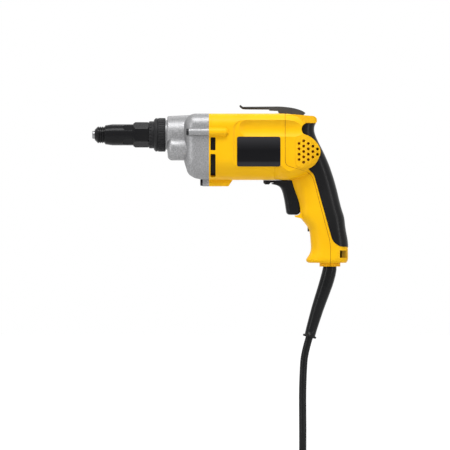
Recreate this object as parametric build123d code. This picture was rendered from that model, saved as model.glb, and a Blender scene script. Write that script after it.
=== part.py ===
from build123d import *
from functools import cache
import math
import os

# A corded electric screwdriver with an adjustable nose, in the pieces it comes apart into.
# The nose points along -X, the tool's right-hand side is +Y and up is +Z.
# Pieces are drawn from the joint of gear case and motor housing (x = 0) and from the spindle
# axis (y = z = 0). They are moved to the middle of the hand grip as they are written.
GRIP_CENTRE = (138.0, 0.0, -84.0)

# Fits and walls
RUNNING_FIT = 0.05
LOOSE_FIT = 0.3
SEAT_GAP = 0.1
WALL = 3.0

# Barrel of the housing, a rounded box seen from the front
BODY_TOP = 25.0
BODY_BOTTOM = -54.2
BODY_HALF_WIDTH = 36.0
BODY_TOP_RADIUS = 15.0
BODY_BOTTOM_RADIUS = 26.0
PANEL_START = 31.0
PANEL_DEPTH = 1.5
PANEL_TOP = 16.5
PANEL_CORNER = 11.0
PANEL_SLOPE = 58.0
SCOOP_RADIUS = 16.0
SCOOP_DEPTH = 3.6
SCOOP_HEIGHT = 7.1
SCOOP_START = 46.0
SCOOP_END = 128.0
SCOOP_WALL = 1.8
# Rear dome of the barrel: x, half width, top, bottom and corner radius
DOME_STATIONS = (
    (100.0, 35.2, 24.0, -53.4, 15.0),
    (112.0, 32.0, 18.0, -50.0, 15.0),
    (122.0, 27.0, 5.0, -45.0, 14.0),
    (130.0, 21.5, -5.0, -38.0, 12.0),
    (136.0, 15.0, -12.0, -31.0, 8.0),
)
DOME_START = 86.0
# Tail above the grip: it rides over the web of the hand
TAIL_START = 84.0
TAIL_TIP = 129.4
TAIL_HALF_WIDTH = 29.0
TAIL_TIP_HALF_WIDTH = 13.0
TAIL_UNDERSIDE = 13.8
TAIL_DROP = 3.0

# Handle, cut level: z, front, back and half width
HANDLE_STATIONS = (
    (13.6, 101.0, 128.0, 16.5),
    (4.3, 100.0, 125.9, 17.0),
    (-8.0, 99.0, 130.4, 17.5),
    (-24.0, 98.0, 138.4, 18.0),
    (-44.0, 96.4, 146.4, 18.0),
    (-71.3, 102.8, 154.2, 18.0),
    (-92.0, 107.6, 159.6, 18.2),
    (-107.6, 116.2, 162.8, 18.0),
    (-121.0, 121.4, 165.0, 18.2),
    (-134.0, 122.3, 166.6, 19.0),
    (-142.0, 121.0, 166.7, 20.0),
    (-149.8, 116.6, 166.5, 21.0),
    (-153.5, 119.5, 164.5, 19.5),
)
HANDLE_ROUNDNESS = 3.4
LIP_TOP = -96.7
LIP_FRONT = 102.6
LIP_CHEEK = 109.8
LIP_CHEEK_HEIGHT = 9.0
LIP_ROOT = 8.0
LIP_THICKNESS = 1.8
GUSSET_X = 103.2
GUSSET_RADIUS = 7.4
GUSSET_HALF_WIDTH = 12.0
LIP_HALF_WIDTH = 12.5

# Seam between motor housing and rear cover, seen from the side
SEAM_X = 91.0
SEAM_CORNERS = ((SEAM_X, -37.0), (123.0, -46.4), (145.4, -130.0))
SEAM_RADII = (7.0, 16.0, 60.0)
SEAM_GAP = 0.4

# Rubber grip moulded over the handle's back
GRIP_PROUD = 0.4
GRIP_DEPTH = 1.7
GRIP_BACK = 180.0
GRIP_LOBE = ((117.0, TAIL_UNDERSIDE - 0.2), (110.6, 6.6), (113.4, 0.2))
GRIP_CORNERS = ((118.4, -41.0), (125.6, -48.0), (149.4, -133.5), (GRIP_BACK, -135.4))
GRIP_RADII = (10.0, 16.0)
# Round end of the dome that the grip leaves free: its top, middle and lower arcs
EYE_ARCS = (
    (GRIP_LOBE[2], (124.4, -5.2), (131.6, -14.0)),
    ((131.6, -14.0), (133.4, -20.6), (131.6, -27.2)),
    ((131.6, -27.2), (127.4, -35.0), GRIP_CORNERS[0]),
)
CAP_FRONT = 103.0
CAP_HALF_HEIGHT = 19.6
CAP_CORNER = 8.0
CAP_PROUD = 0.4

# Grille of round holes on both sides of the dome, in staggered columns
GRILLE_X = 113.0
GRILLE_Z = -20.6
GRILLE_PITCH = 6.4
GRILLE_HOLE_RADIUS = 1.65
GRILLE_ROWS = (4, 5, 4, 3, 2)
GRILLE_WEB_FRONT = 109.0
WEB_THICKNESS = 2.4

# Vents at the fan, bare name plate, base recess and foot of the handle
VENT_X = 1.9
VENT_WIDTH = 6.0
VENT_SPANS = ((-3.6, -19.1), (-23.6, -50.6))
VENT_CORNER = 1.2
PLATE_X = 33.6
PLATE_LENGTH = 51.6
PLATE_TOP = -3.0
PLATE_HEIGHT = 35.5
PLATE_THICKNESS = 0.9
PLATE_RECESS = 0.5
PLATE_CORNER = 2.2
LOOP_X = 156.8
LOOP_WIDTH = 2.0
LOOP_TOP = -139.2
LOOP_HEIGHT = 8.4
LOOP_DEPTH = 2.5
RAMP_LENGTH = 5.8
RAMP_DEPTH = 2.2
BASE_Z = -153.5
COLLAR_HALF_LENGTH = 12.5
BASE_COLLAR_DROP = 4.5

# Gear train: armature pinion, lay gear, lay pinion and clutch gear
PRESSURE_ANGLE = 20.0
BACKLASH = 0.14
MOTOR_DROP = 14.6
FIRST_MODULE = 0.65
PINION_TEETH = 10
LAY_GEAR_TEETH = 42
FIRST_SHIFT = 0.45
SECOND_MODULE = 1.0
LAY_PINION_TEETH = 14
CLUTCH_GEAR_TEETH = 34
SECOND_SHIFT = 0.3
FIRST_CENTRES = FIRST_MODULE * (PINION_TEETH + LAY_GEAR_TEETH) / 2
SECOND_CENTRES = SECOND_MODULE * (LAY_PINION_TEETH + CLUTCH_GEAR_TEETH) / 2
MOTOR_Z = -MOTOR_DROP
LAY_Z = -(SECOND_CENTRES**2 - FIRST_CENTRES**2 + MOTOR_DROP**2) / (2 * MOTOR_DROP)
LAY_Y = -math.sqrt(SECOND_CENTRES**2 - LAY_Z**2)
TOOTH_ROOM = 1.3

# Gear case
CASE_LENGTH = 50.0
BOWL_LENGTH = 29.6
BOWL_FRONT_RADIUS = 14.0
BOWL_CHIN = ((-30.4, -30.0), (-25.0, -47.2), (-17.0, -52.0), (-4.0, -54.4))
BOWL_CHIN_RADIUS = 9.0
BOSS_FRONT_RADIUS = 22.4
BOSS_REAR_RADIUS = 24.8
LOBE_RADIUS = 13.8
LOBE_FRONT_RADIUS = 5.5
CASE_EDGE_RADIUS = 1.5
CASE_FRONT_WALL = 4.0
RIB_RADIUS = 5.0
RIB_HALF_SPAN = 35.6
RIB_Z = 2.6
RIB_FRONT = -24.0
RIB_REAR = 23.4
LUG_HALF_WIDTH = 7.5
LUG_BOTTOM = -61.8
LUG_RADIUS = 4.2
LUG_SCREW_Z = -57.3
LUG_FRONT = -7.6
LUG_REAR = 28.4
LUG_SLOPE = 5.0
NECK_RADIUS = 17.8
NECK_LENGTH = 10.5

# Bearing plate in the gear case's rear
BEARING_PLATE_RADIUS = 31.0
BEARING_PLATE_THICKNESS = 8.0
PILOT_BOSS_LENGTH = 6.2
PILOT_BOSS_RADIUS = 6.5
PILOT_RADIUS = 3.0

# Case screws
SCREW_RADIUS = 2.0
SCREW_HEAD_RADIUS = 4.0
SCREW_HEAD_HEIGHT = 2.9
SCREW_REACH = 17.0
SCREW_BOSS_RADIUS = 4.4
SCREW_RECESS_RADIUS = 2.0
SCREW_RECESS_DEPTH = 1.6

# Nose, from the case forwards
COLLAR_GAP = 2.1
COLLAR_LENGTH = 13.8
COLLAR_RADIUS = 20.2
COLLAR_WALL = 1.9
COLLAR_FLUTES = 40
FLUTE_RADIUS = 0.55
DETENT_LENGTH = 6.2
DETENT_RADIUS = 16.3
DETENT_NOTCHES = 24
NOTCH_RADIUS = 0.7
HEX_LENGTH = 18.7
HEX_CORNER_RADIUS = 15.6
HEX_TURNED_RADIUS = 15.2
SLEEVE_LENGTH = 34.0
SLEEVE_RADIUS = 12.7
SLEEVE_FRONT_RADIUS = 11.5
SLEEVE_TAPER_LENGTH = 9.0
SLEEVE_BORE = 9.6
SLEEVE_TAIL_RADIUS = 12.0
SLEEVE_FLATS = 4
FLAT_LENGTH = 8.0
FLAT_DEPTH = 0.9
TIP_LENGTH = 12.2
TIP_RADIUS = 9.9
TIP_RIBS = 3
TIP_GROOVE_DEPTH = 0.9
TIP_CHAMFER = 3.6
TIP_SPIGOT = 14.0
TIP_BORE_CLEARANCE = 0.6
BIT_PROUD = 3.0
NOSE_RING_WIDTH = 1.0
NOSE_RING_RADIUS = 14.2

# Spindle, clutch and bit holder
BIT_HOLDER_RADIUS = 4.8
BIT_HOLDER_LENGTH = 39.0
BIT_ACROSS_FLATS = 6.4
BIT_SOCKET_DEPTH = 14.0
SHANK_LENGTH = 16.0
SHANK_ACROSS_FLATS = 6.3
MAGNET_RADIUS = 2.4
MAGNET_LENGTH = 3.0
SPINDLE_RADIUS = 8.0
BUSH_WALL = 2.5
BUSH_LENGTH = 14.5
WASHER_THICKNESS = 1.5
FLANGE_RADIUS = 13.5
FLANGE_THICKNESS = 4.0
DOG_COUNT = 3
DOG_ANGLE = 40.0
DOG_INNER_RADIUS = 9.2
DOG_LENGTH = 5.1
PUSH_TRAVEL = 3.0
SPINDLE_TAIL_RADIUS = 6.0
CLUTCH_GEAR_WIDTH = 8.5
CLUTCH_HUB_RADIUS = 8.4
SPRING_WIRE_RADIUS = 0.7
CLUTCH_SPRING_RADIUS = 7.6
CLUTCH_SPRING_TURNS = 4

# Lay shaft
LAY_SHAFT_RADIUS = 3.0
LAY_BUSH_WALL = 1.6
LAY_BUSH_LENGTH = 6.0
LAY_PINION_LENGTH = 13.0
LAY_GEAR_WIDTH = 8.0
GEAR_SIDE_GAP = 1.5

# Armature and motor
SHAFT_RADIUS = 4.0
PINION_LENGTH = 10.0
FRONT_BEARING_RADIUS = 11.0
BEARING_WIDTH = 7.0
REAR_BEARING_RADIUS = 9.5
BEARING_SHIELD_DEPTH = 0.5
FAN_X = 2.6
FAN_LENGTH = 9.0
FAN_RADIUS = 31.0
FAN_ROOM = 0.6
FAN_DISC = 1.5
FAN_HUB_RADIUS = 9.0
FAN_BLADES = 11
FAN_BLADE_THICKNESS = 1.4
BAFFLE_X = 13.6
BAFFLE_THICKNESS = 2.4
BAFFLE_BORE = 18.0
FIELD_X = 28.0
FIELD_LENGTH = 42.0
FIELD_RADIUS = 29.5
CORE_RADIUS = 19.2
AIR_GAP = 0.5
FIELD_SLOT_RADIUS = 28.0
FIELD_SLOT_ANGLE = 43.0
COIL_INNER_RADIUS = 21.0
COIL_HEAD_LENGTH = 8.0
COIL_BAR_START = 15.0
COIL_BAR_END = 40.0
CORE_SLOTS = 12
CORE_SLOT_WIDTH = 2.4
CORE_SLOT_DEPTH = 3.0
WINDING_LENGTH = 7.5
WINDING_RADIUS = 17.4
COMMUTATOR_X = 81.0
COMMUTATOR_LENGTH = 15.0
COMMUTATOR_RADIUS = 12.0
COMMUTATOR_BARS = 24
BAR_GAP = 0.6
BAR_GAP_DEPTH = 1.0
CARRIER_X = 98.0
CARRIER_THICKNESS = 3.0
CARRIER_RADIUS = 30.8
CARRIER_HUB_WALL = 3.0
BRUSH_WIDTH = 10.0
BRUSH_HEIGHT = 6.5
BRUSH_LENGTH = 13.5
HOLDER_WALL = 0.9
HOLDER_START = 14.0
HOLDER_END = 29.4
BRUSH_SPRING_RADIUS = 2.4
BRUSH_SPRING_WIRE = 0.4
BRUSH_SPRING_TURNS = 3

# Trigger, switch and reversing lever
TRIGGER_HALF_WIDTH = 10.0
TRIGGER_GAP = 0.5
TRIGGER_TOP = -58.0
TRIGGER_CHEEK = 1.4
TRIGGER_HEEL_RADIUS = 5.0
TRIGGER_HORN_DEPTH = 1.2
TRIGGER_FACE = ((84.5, -62.4), (89.4, -74.0), (92.4, -91.7))
TRIGGER_TOE = (94.0, -95.0)
TRIGGER_TOE_END = 97.0
TRIGGER_CHEEK_FRONT = 79.5
TRIGGER_BOTTOM = -96.0
TRIGGER_REAR = 109.5
TRIGGER_TRAVEL = 7.0
TRIGGER_EDGE_RADIUS = 2.5
TRIGGER_HORN = 75.0
PLUNGER_Z = -75.0
PLUNGER_RADIUS = 2.5
PLUNGER_REACH = 8.0
SPRING_POCKET_RADIUS = 5.5
SPRING_POCKET_DEPTH = 8.0
TRIGGER_SPRING_RADIUS = 4.2
TRIGGER_SPRING_WIRE = 0.5
TRIGGER_SPRING_TURNS = 5
SWITCH_LENGTH = 23.0
SWITCH_HALF_WIDTH = 11.5
SWITCH_TOP = -58.6
SWITCH_BOTTOM = -95.0
SWITCH_STANDOFF = 1.5
SWITCH_EDGE = 1.5
CHEEK_LENGTH = 9.0
LEVER_PIVOT_SETBACK = 6.0
LEVER_PIVOT_RADIUS = 2.0
LEVER_HUB_RADIUS = 4.4
LEVER_THICKNESS = 2.8
LEVER_STEM_HALF_WIDTH = 2.4
LEVER_FRONT = 65.2
LEVER_PADDLE_LENGTH = 8.4
LEVER_PADDLE_HALF_WIDTH = 8.0
LEVER_PADDLE_DROP = 2.2
LEVER_TOP_GAP = 0.4

# Belt clip
CLIP_HALF_WIDTH = 9.0
CLIP_SEAT = 23.3
CLIP_FOOT_FRONT = 84.7
CLIP_FOOT_REAR = 115.6
CLIP_LEAN = 2.0
CLIP_ARM_TOP = 33.7
CLIP_ARM_THICKNESS = 1.6
CLIP_BUMP_DEPTH = 4.9
CLIP_BUMP_LENGTH = 12.0
CLIP_TIP = 36.4
CLIP_TIP_RISE = 2.0
CLIP_TIP_LENGTH = 4.1
CLIP_TIP_THICKNESS = 1.2
CLIP_HEEL = 2.6
CLIP_BACK = ((0.0, 0.0), (13.8, 1.4), (24.0, 3.9))
CLIP_SCREW_SEAT = 3.4
CLIP_SCREW_X = 101.0
CLIP_SCREW_LENGTH = 6.5

# Handle screw
COVER_SCREW_Z = -112.0
COVER_SCREW_HEAD_X = 120.2
COVER_SCREW_LENGTH = 31.0
COVER_BOSS_RADIUS = 4.6
BOSS_JOINT_X = 136.0

# Cord entry
CORD_RADIUS = 4.5
BOOT_X = 145.1
BOOT_NECK_RADIUS = 8.0
BOOT_FLANGE_RADIUS = 10.5
BOOT_FLANGE_THICKNESS = 3.0
BOOT_END_RADIUS = 5.4
BOOT_RING_RADIUS = 8.4
BOOT_RING_THICKNESS = 2.2
BOOT_CENTRES = ((145.1, -158.0), (144.4, -166.0), (142.4, -173.5), (133.2, -202.0), (121.4, -239.6))
CLAMP_Z = -129.0
CLAMP_THICKNESS = 5.0
CLAMP_HEIGHT = 8.0
CLAMP_HALF_LENGTH = 12.5
CLAMP_SCREW_SPAN = 9.0
CLAMP_SCREW_RADIUS = 1.5
CORD_END_Z = -119.0

# Free cord, coil, tie and plug
FLOOR_Z = -428.0
TIE_THICKNESS = 1.2
TIE_WIDTH = 12.0
COIL_PITCH = 9.6
COIL_START = (112.0, 37.0)
COIL_OUTER_RADIUS = 66.0
COIL_HALF_TURNS = 6
LOWER_LAYER_Z = FLOOR_Z + TIE_THICKNESS + CORD_RADIUS
UPPER_LAYER_Z = LOWER_LAYER_Z + COIL_PITCH
PLUG_AXIS_Z = FLOOR_Z + 11.0
PLUG_LENGTH = 36.0
PLUG_HALF_WIDTH = 13.0
PLUG_HALF_HEIGHT = 11.0
PLUG_NECK_LENGTH = 16.0
PLUG_NECK_RADIUS = 6.5
BLADE_LENGTH = 17.5
BLADE_WIDTH = 6.3
BLADE_THICKNESS = 1.5
BLADE_SPACING = 12.7
TAIL_RISE_RADIUS = 60.0
CORD_POINTS = (
    (114.5, 0.0, -262.0),
    (113.0, -4.0, -283.0),
    (112.0, -13.0, -309.0),
    (112.0, -21.5, -333.0),
    (112.0, -28.9, -356.4),
    (112.0, -25.0, -381.1),
    (112.0, -10.3, -401.35),
    (112.0, 12.0, UPPER_LAYER_Z),
)

# Axial places that follow from the lengths above
CASE_FRONT = -CASE_LENGTH
NECK_FRONT = CASE_FRONT - NECK_LENGTH
COLLAR_REAR = CASE_FRONT - COLLAR_GAP
COLLAR_FRONT = COLLAR_REAR - COLLAR_LENGTH
HEX_REAR = COLLAR_FRONT - DETENT_LENGTH
HEX_FRONT = HEX_REAR - HEX_LENGTH
SLEEVE_FRONT = HEX_FRONT - SLEEVE_LENGTH
TIP_FRONT = SLEEVE_FRONT - TIP_LENGTH
BIT_TIP = TIP_FRONT - BIT_PROUD
SPINDLE_FRONT = BIT_TIP + BIT_HOLDER_LENGTH
BUSH_RADIUS = SPINDLE_RADIUS + BUSH_WALL
BUSH_REAR = NECK_FRONT + BUSH_LENGTH
FLANGE_FRONT = BUSH_REAR + WASHER_THICKNESS
FLANGE_REAR = FLANGE_FRONT + FLANGE_THICKNESS
PLATE_FRONT = -BEARING_PLATE_THICKNESS
PILOT_FRONT = PLATE_FRONT - PILOT_BOSS_LENGTH
PINION_REAR = PLATE_FRONT - 1.6
PINION_FRONT = PINION_REAR - PINION_LENGTH
CLUTCH_GEAR_REAR = PINION_FRONT - GEAR_SIDE_GAP
CLUTCH_GEAR_FRONT = CLUTCH_GEAR_REAR - CLUTCH_GEAR_WIDTH
LAY_GEAR_REAR = PINION_REAR - 1.0
LAY_GEAR_FRONT = LAY_GEAR_REAR - LAY_GEAR_WIDTH
LAY_PINION_FRONT = LAY_GEAR_FRONT - LAY_PINION_LENGTH
LAY_FRONT = CASE_FRONT + CASE_FRONT_WALL
FIELD_BORE = CORE_RADIUS + AIR_GAP
FIELD_END = FIELD_X + FIELD_LENGTH
SWITCH_FRONT = TRIGGER_REAR + TRIGGER_TRAVEL + SWITCH_STANDOFF
LEVER_TOP = BODY_BOTTOM - LEVER_TOP_GAP
PANEL_Y = BODY_HALF_WIDTH - PANEL_DEPTH
REACH = 400.0


def rod(x0, x1, radius, y=0.0, z=0.0):
    """A round bar along X."""
    return Pos(x0, y, z) * extrude(Plane.YZ * Circle(radius), amount=x1 - x0)


def tube(x0, x1, outer, inner, y=0.0, z=0.0):
    """A hollow round bar along X."""
    return rod(x0, x1, outer, y, z) - rod(x0, x1, inner, y, z)


def turned(outline, y=0.0, z=0.0):
    """A piece turned about an axis along X, from the corners (x, radius) of its half section."""
    half = Plane.XZ * make_face(Polyline(*outline, close=True))
    return Pos(0, y, z) * revolve(half, axis=Axis.X)


def bar_z(z0, z1, radius, x, y=0.0):
    """A round bar along Z."""
    return Pos(x, y, z0) * extrude(Circle(radius), amount=z1 - z0)


def slab(face, y0, y1):
    """A face drawn in x and z, given its thickness from y0 to y1."""
    return Pos(0, y1, 0) * extrude(Plane.XZ * face, amount=y1 - y0)


def block(x0, x1, y0, y1, z0, z1):
    """A plain block between two corners."""
    return Pos(x0, y0, z0) * Box(x1 - x0, y1 - y0, z1 - z0, align=(Align.MIN,) * 3)


def rounded_face(corners, radii):
    """A face with straight sides whose corners are rounded."""
    return make_face(FilletPolyline(*corners, radius=list(radii), close=True))


def sector(x0, x1, outer, inner, middle, half_angle, y=0.0, z=0.0):
    """A piece of a ring along X, round an angle that starts at +Y."""
    start = middle - half_angle
    ends = [math.radians(start + step * half_angle) for step in (0, 1, 2)]
    outside = [(outer * math.cos(a), outer * math.sin(a)) for a in ends]
    inside = [(inner * math.cos(a), inner * math.sin(a)) for a in ends]
    edge = (
        ThreePointArc(*outside)
        + Line(outside[2], inside[2])
        + ThreePointArc(*reversed(inside))
        + Line(inside[0], outside[0])
    )
    return Pos(x0, y, z) * extrude(Plane.YZ * make_face(edge), amount=x1 - x0)


def hexagon(across_flats):
    """A hexagon with a flat to each side."""
    return RegularPolygon(across_flats / math.sqrt(3), 6, rotation=30)


def gear(module, teeth, shift, x0, x1, tooth_angle, y, z, tip_limit=None):
    """A spur gear along X with involute teeth, one of them pointing at tooth_angle from +Y."""
    pressure = math.radians(PRESSURE_ANGLE)
    pitch_radius = module * teeth / 2
    base_radius = pitch_radius * math.cos(pressure)
    tip_radius = tip_limit or pitch_radius + module * (1 + shift) - 0.05
    root_radius = pitch_radius - module * (1.25 - shift)
    half_tooth = (math.pi / 2 + 2 * shift * math.tan(pressure)) / teeth
    half_tooth -= BACKLASH / 2 / pitch_radius

    def half_angle(radius):
        if radius <= base_radius:
            return half_tooth + math.tan(pressure) - pressure
        slope = math.acos(base_radius / radius)
        return half_tooth + math.tan(pressure) - pressure - (math.tan(slope) - slope)

    def at(radius, angle):
        return (radius * math.cos(angle), radius * math.sin(angle))

    flank_start = max(base_radius, root_radius)
    flank = (flank_start, (flank_start + tip_radius) / 2, tip_radius)
    step = 2 * math.pi / teeth
    edges = []
    for tooth in range(teeth):
        middle = math.radians(tooth_angle) + tooth * step
        rise = [at(r, middle - half_angle(r)) for r in flank]
        fall = [at(r, middle + half_angle(r)) for r in reversed(flank)]
        edges.append(ThreePointArc(*rise))
        edges.append(ThreePointArc(rise[2], at(tip_radius, middle), fall[0]))
        edges.append(ThreePointArc(*fall))
        root_end = at(flank_start, middle + step - half_angle(flank_start))
        if root_radius < base_radius:
            foot = at(root_radius, middle + half_angle(root_radius))
            next_foot = at(root_radius, middle + step - half_angle(root_radius))
            edges.append(Line(fall[2], foot))
            edges.append(ThreePointArc(foot, at(root_radius, middle + step / 2), next_foot))
            edges.append(Line(next_foot, root_end))
        else:
            edges.append(ThreePointArc(fall[2], at(root_radius, middle + step / 2), root_end))
    return Pos(x0, y, z) * extrude(Plane.YZ * make_face(edges), amount=x1 - x0)


def spring(length, radius, wire_radius, turns):
    """A coil spring along +Z from the origin, standing inside its length."""
    rise = length - 2 * wire_radius
    helix = Pos(0, 0, wire_radius) * Helix(rise / turns, rise, radius)
    section = Plane(helix @ 0, z_dir=helix % 0) * Circle(wire_radius)
    return sweep(section, path=helix, is_frenet=True)


def angle_to(y, z, from_y=0.0, from_z=0.0):
    """The angle from +Y of the way from one axis to another, in degrees."""
    return math.degrees(math.atan2(z - from_z, y - from_y))


def body_section(half_width, top, bottom, top_radius, bottom_radius):
    """A rounded box seen along X."""
    face = Pos(0, (top + bottom) / 2) * Rectangle(2 * half_width, top - bottom)
    face = fillet(face.vertices().group_by(Axis.Y)[-1], top_radius)
    return fillet(face.vertices().group_by(Axis.Y)[0], bottom_radius)


def barrel_section(grow):
    """The barrel's section, grown or shrunk all round."""
    return body_section(
        BODY_HALF_WIDTH + grow,
        BODY_TOP + grow,
        BODY_BOTTOM - grow,
        BODY_TOP_RADIUS + grow,
        BODY_BOTTOM_RADIUS + grow,
    )


def barrel_slice(x0, x1, grow):
    """A slice of the barrel's straight part."""
    return Pos(x0, 0, 0) * extrude(Plane.YZ * barrel_section(grow), amount=x1 - x0)


@cache
def barrel_form(grow):
    """The barrel with its rear dome, grown or shrunk all round."""
    sections = [Plane.YZ.offset(x) * barrel_section(grow) for x in (DOME_START - 8, DOME_START)]
    for x, half_width, top, bottom, radius in DOME_STATIONS:
        radius += grow * 0.9
        face = body_section(half_width + grow, top + grow, bottom - grow, radius, radius)
        sections.append(Plane.YZ.offset(x + grow) * face)
    return barrel_slice(0, DOME_START - 8, grow) + loft(sections)


@cache
def handle_form(grow):
    """The handle without its trigger pocket, grown or shrunk all round."""
    sections = []
    for z, front, back, half_width in HANDLE_STATIONS:
        level = z
        if z == HANDLE_STATIONS[0][0]:
            level = z + grow
        if z == HANDLE_STATIONS[-1][0]:
            level = z - grow
        depth = back - front + 2 * grow
        radius = half_width - HANDLE_ROUNDNESS + grow
        face = RectangleRounded(depth, 2 * (half_width + grow), min(radius, depth / 2 - 0.5))
        sections.append(Pos((front + back) / 2, 0, level) * face)
    return loft(sections)


def tail_form():
    """The tail of the barrel over the web of the hand."""
    top = BODY_TOP
    side = rounded_face(
        (
            (TAIL_START, TAIL_UNDERSIDE),
            (TAIL_START, top),
            (SEAM_X, top - 0.4),
            (TAIL_TIP, top - TAIL_DROP),
            (TAIL_TIP, TAIL_UNDERSIDE),
        ),
        (0, 0, 0, 5.5, 2.5),
    )
    plan = rounded_face(
        (
            (TAIL_START, -TAIL_HALF_WIDTH),
            (SEAM_X + 4, -TAIL_HALF_WIDTH),
            (TAIL_TIP, -TAIL_TIP_HALF_WIDTH),
            (TAIL_TIP, TAIL_TIP_HALF_WIDTH),
            (SEAM_X + 4, TAIL_HALF_WIDTH),
            (TAIL_START, TAIL_HALF_WIDTH),
        ),
        (0, 14, 7, 7, 14, 0),
    )
    tail = slab(side, -TAIL_HALF_WIDTH, TAIL_HALF_WIDTH)
    tail = tail & (Pos(0, 0, TAIL_UNDERSIDE - 1) * extrude(plan, amount=30))
    return tail & barrel_slice(TAIL_START, TAIL_TIP, 0)


def lip_form():
    """The lip of the handle below the trigger."""
    side = rounded_face(
        (
            (LIP_FRONT, LIP_TOP),
            (LIP_CHEEK, LIP_TOP),
            (LIP_CHEEK, LIP_TOP + LIP_CHEEK_HEIGHT),
            (LIP_CHEEK + LIP_ROOT, LIP_TOP + LIP_CHEEK_HEIGHT),
            (LIP_CHEEK + LIP_ROOT, LIP_TOP - 3 * LIP_THICKNESS),
            (LIP_CHEEK + LIP_ROOT / 2, LIP_TOP - 2.5 * LIP_THICKNESS),
            (LIP_FRONT + 0.6, LIP_TOP - LIP_THICKNESS),
        ),
        (0.5, TRIGGER_HEEL_RADIUS, 0, 0, 0, 4, 0.8),
    )
    return slab(side, -LIP_HALF_WIDTH, LIP_HALF_WIDTH)


def pocket_gusset():
    """The rounded inner corner between barrel and handle at the trigger's top."""
    side = rounded_face(
        (
            (GUSSET_X - GUSSET_RADIUS - 1, BODY_BOTTOM + WALL / 2),
            (GUSSET_X + WALL, BODY_BOTTOM + WALL / 2),
            (GUSSET_X + WALL, BODY_BOTTOM - GUSSET_RADIUS - 1),
            (GUSSET_X, BODY_BOTTOM - GUSSET_RADIUS - 1),
            (GUSSET_X, BODY_BOTTOM),
            (GUSSET_X - GUSSET_RADIUS - 1, BODY_BOTTOM),
        ),
        (0, 0, 0, 0, GUSSET_RADIUS, 0),
    )
    return slab(side, -GUSSET_HALF_WIDTH, GUSSET_HALF_WIDTH)


def lug_section():
    """The lower screw lug's section, seen along X."""
    return body_section(LUG_HALF_WIDTH, BODY_BOTTOM + 8, LUG_BOTTOM, 0.5, LUG_RADIUS)


def scoops(wall):
    """The long hollows for finger and thumb along both sides of the barrel, with a wall round them."""
    cuts = []
    for side in (-1, 1):
        y = side * (PANEL_Y + SCOOP_RADIUS - SCOOP_DEPTH)
        cuts.append(rod(SCOOP_START, SCOOP_END, SCOOP_RADIUS + wall, y, SCOOP_HEIGHT))
        cuts.append(Pos(SCOOP_START, y, SCOOP_HEIGHT) * Sphere(SCOOP_RADIUS + wall))
    return cuts


def panels():
    """What is cut away to set both side panels back from the ring at the front."""
    low = BODY_BOTTOM - 20
    face = rounded_face(
        ((PANEL_START, low), (PANEL_START, PANEL_TOP), (REACH, PANEL_TOP), (REACH, low)),
        (0, PANEL_CORNER, 0, 0),
    )
    left = Pos(0, -PANEL_Y, 0) * extrude(Plane.XZ * face, amount=2 * PANEL_DEPTH, taper=-PANEL_SLOPE)
    return left + mirror(left, Plane.XZ)


def screw_line_x():
    """Places (y, z) and head fronts of the screws that hold the gear case."""
    return (
        (-RIB_HALF_SPAN, RIB_Z, RIB_FRONT),
        (RIB_HALF_SPAN, RIB_Z, RIB_FRONT),
        (0.0, LUG_SCREW_Z, LUG_FRONT),
    )


def body_form():
    """Outside of motor housing and rear cover as one form."""
    body = barrel_form(0) - panels() - scoops(0) + grille_cap()
    body -= grip_region(0)
    body += [handle_form(0), tail_form(), lip_form(), pocket_gusset()]
    for side in (-1, 1):
        y = side * RIB_HALF_SPAN
        body += rod(0, RIB_REAR - RIB_RADIUS, RIB_RADIUS, y, RIB_Z)
        body += Pos(RIB_REAR - RIB_RADIUS, y, RIB_Z) * Sphere(RIB_RADIUS)
    lug = extrude(Plane.YZ * lug_section(), amount=LUG_REAR)
    slope = rounded_face(
        (
            (LUG_REAR - LUG_SLOPE, LUG_BOTTOM),
            (LUG_REAR + 1, LUG_BOTTOM),
            (LUG_REAR + 1, BODY_BOTTOM),
            (LUG_REAR, BODY_BOTTOM),
        ),
        (0, 0, 0, 0),
    )
    body += lug - slab(slope, -LUG_HALF_WIDTH, LUG_HALF_WIDTH)
    collar = RectangleRounded(2 * COLLAR_HALF_LENGTH, 2 * COLLAR_HALF_LENGTH, COLLAR_HALF_LENGTH - 0.5)
    collar = Pos(BOOT_X, 0, BASE_Z - BASE_COLLAR_DROP) * extrude(collar, amount=BASE_COLLAR_DROP + 2)
    return body + collar


def shell_form():
    """Motor housing and rear cover as one hollow form."""
    barrel_room = barrel_form(-WALL) - scoops(SCOOP_WALL) - grip_region(WALL)
    return body_form() - barrel_room - handle_form(-WALL)


def rear_region(gap):
    """Everything behind the seam, less a gap."""
    corners = [(SEAM_X, REACH / 2)]
    corners += SEAM_CORNERS
    corners += [(SEAM_CORNERS[-1][0], -REACH), (REACH, -REACH), (REACH, REACH / 2)]
    face = rounded_face(corners, (0,) + SEAM_RADII + (0, 0, 0))
    return Pos(gap, 0, 0) * slab(face, -REACH / 4, REACH / 4)


def grip_region(grow):
    """The side outline of the rubber grip, grown or shrunk all round."""
    edges = [Line((GRIP_BACK, GRIP_LOBE[0][1]), GRIP_LOBE[0]), ThreePointArc(*GRIP_LOBE)]
    edges += [ThreePointArc(*arc) for arc in EYE_ARCS]
    edges += FilletPolyline(*GRIP_CORNERS, radius=list(GRIP_RADII)).edges()
    edges.append(Line(GRIP_CORNERS[-1], (GRIP_BACK, GRIP_LOBE[0][1])))
    face = make_face(edges)
    if grow:
        face = offset(face, grow)
    return slab(face, -REACH / 4, REACH / 4)


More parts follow.
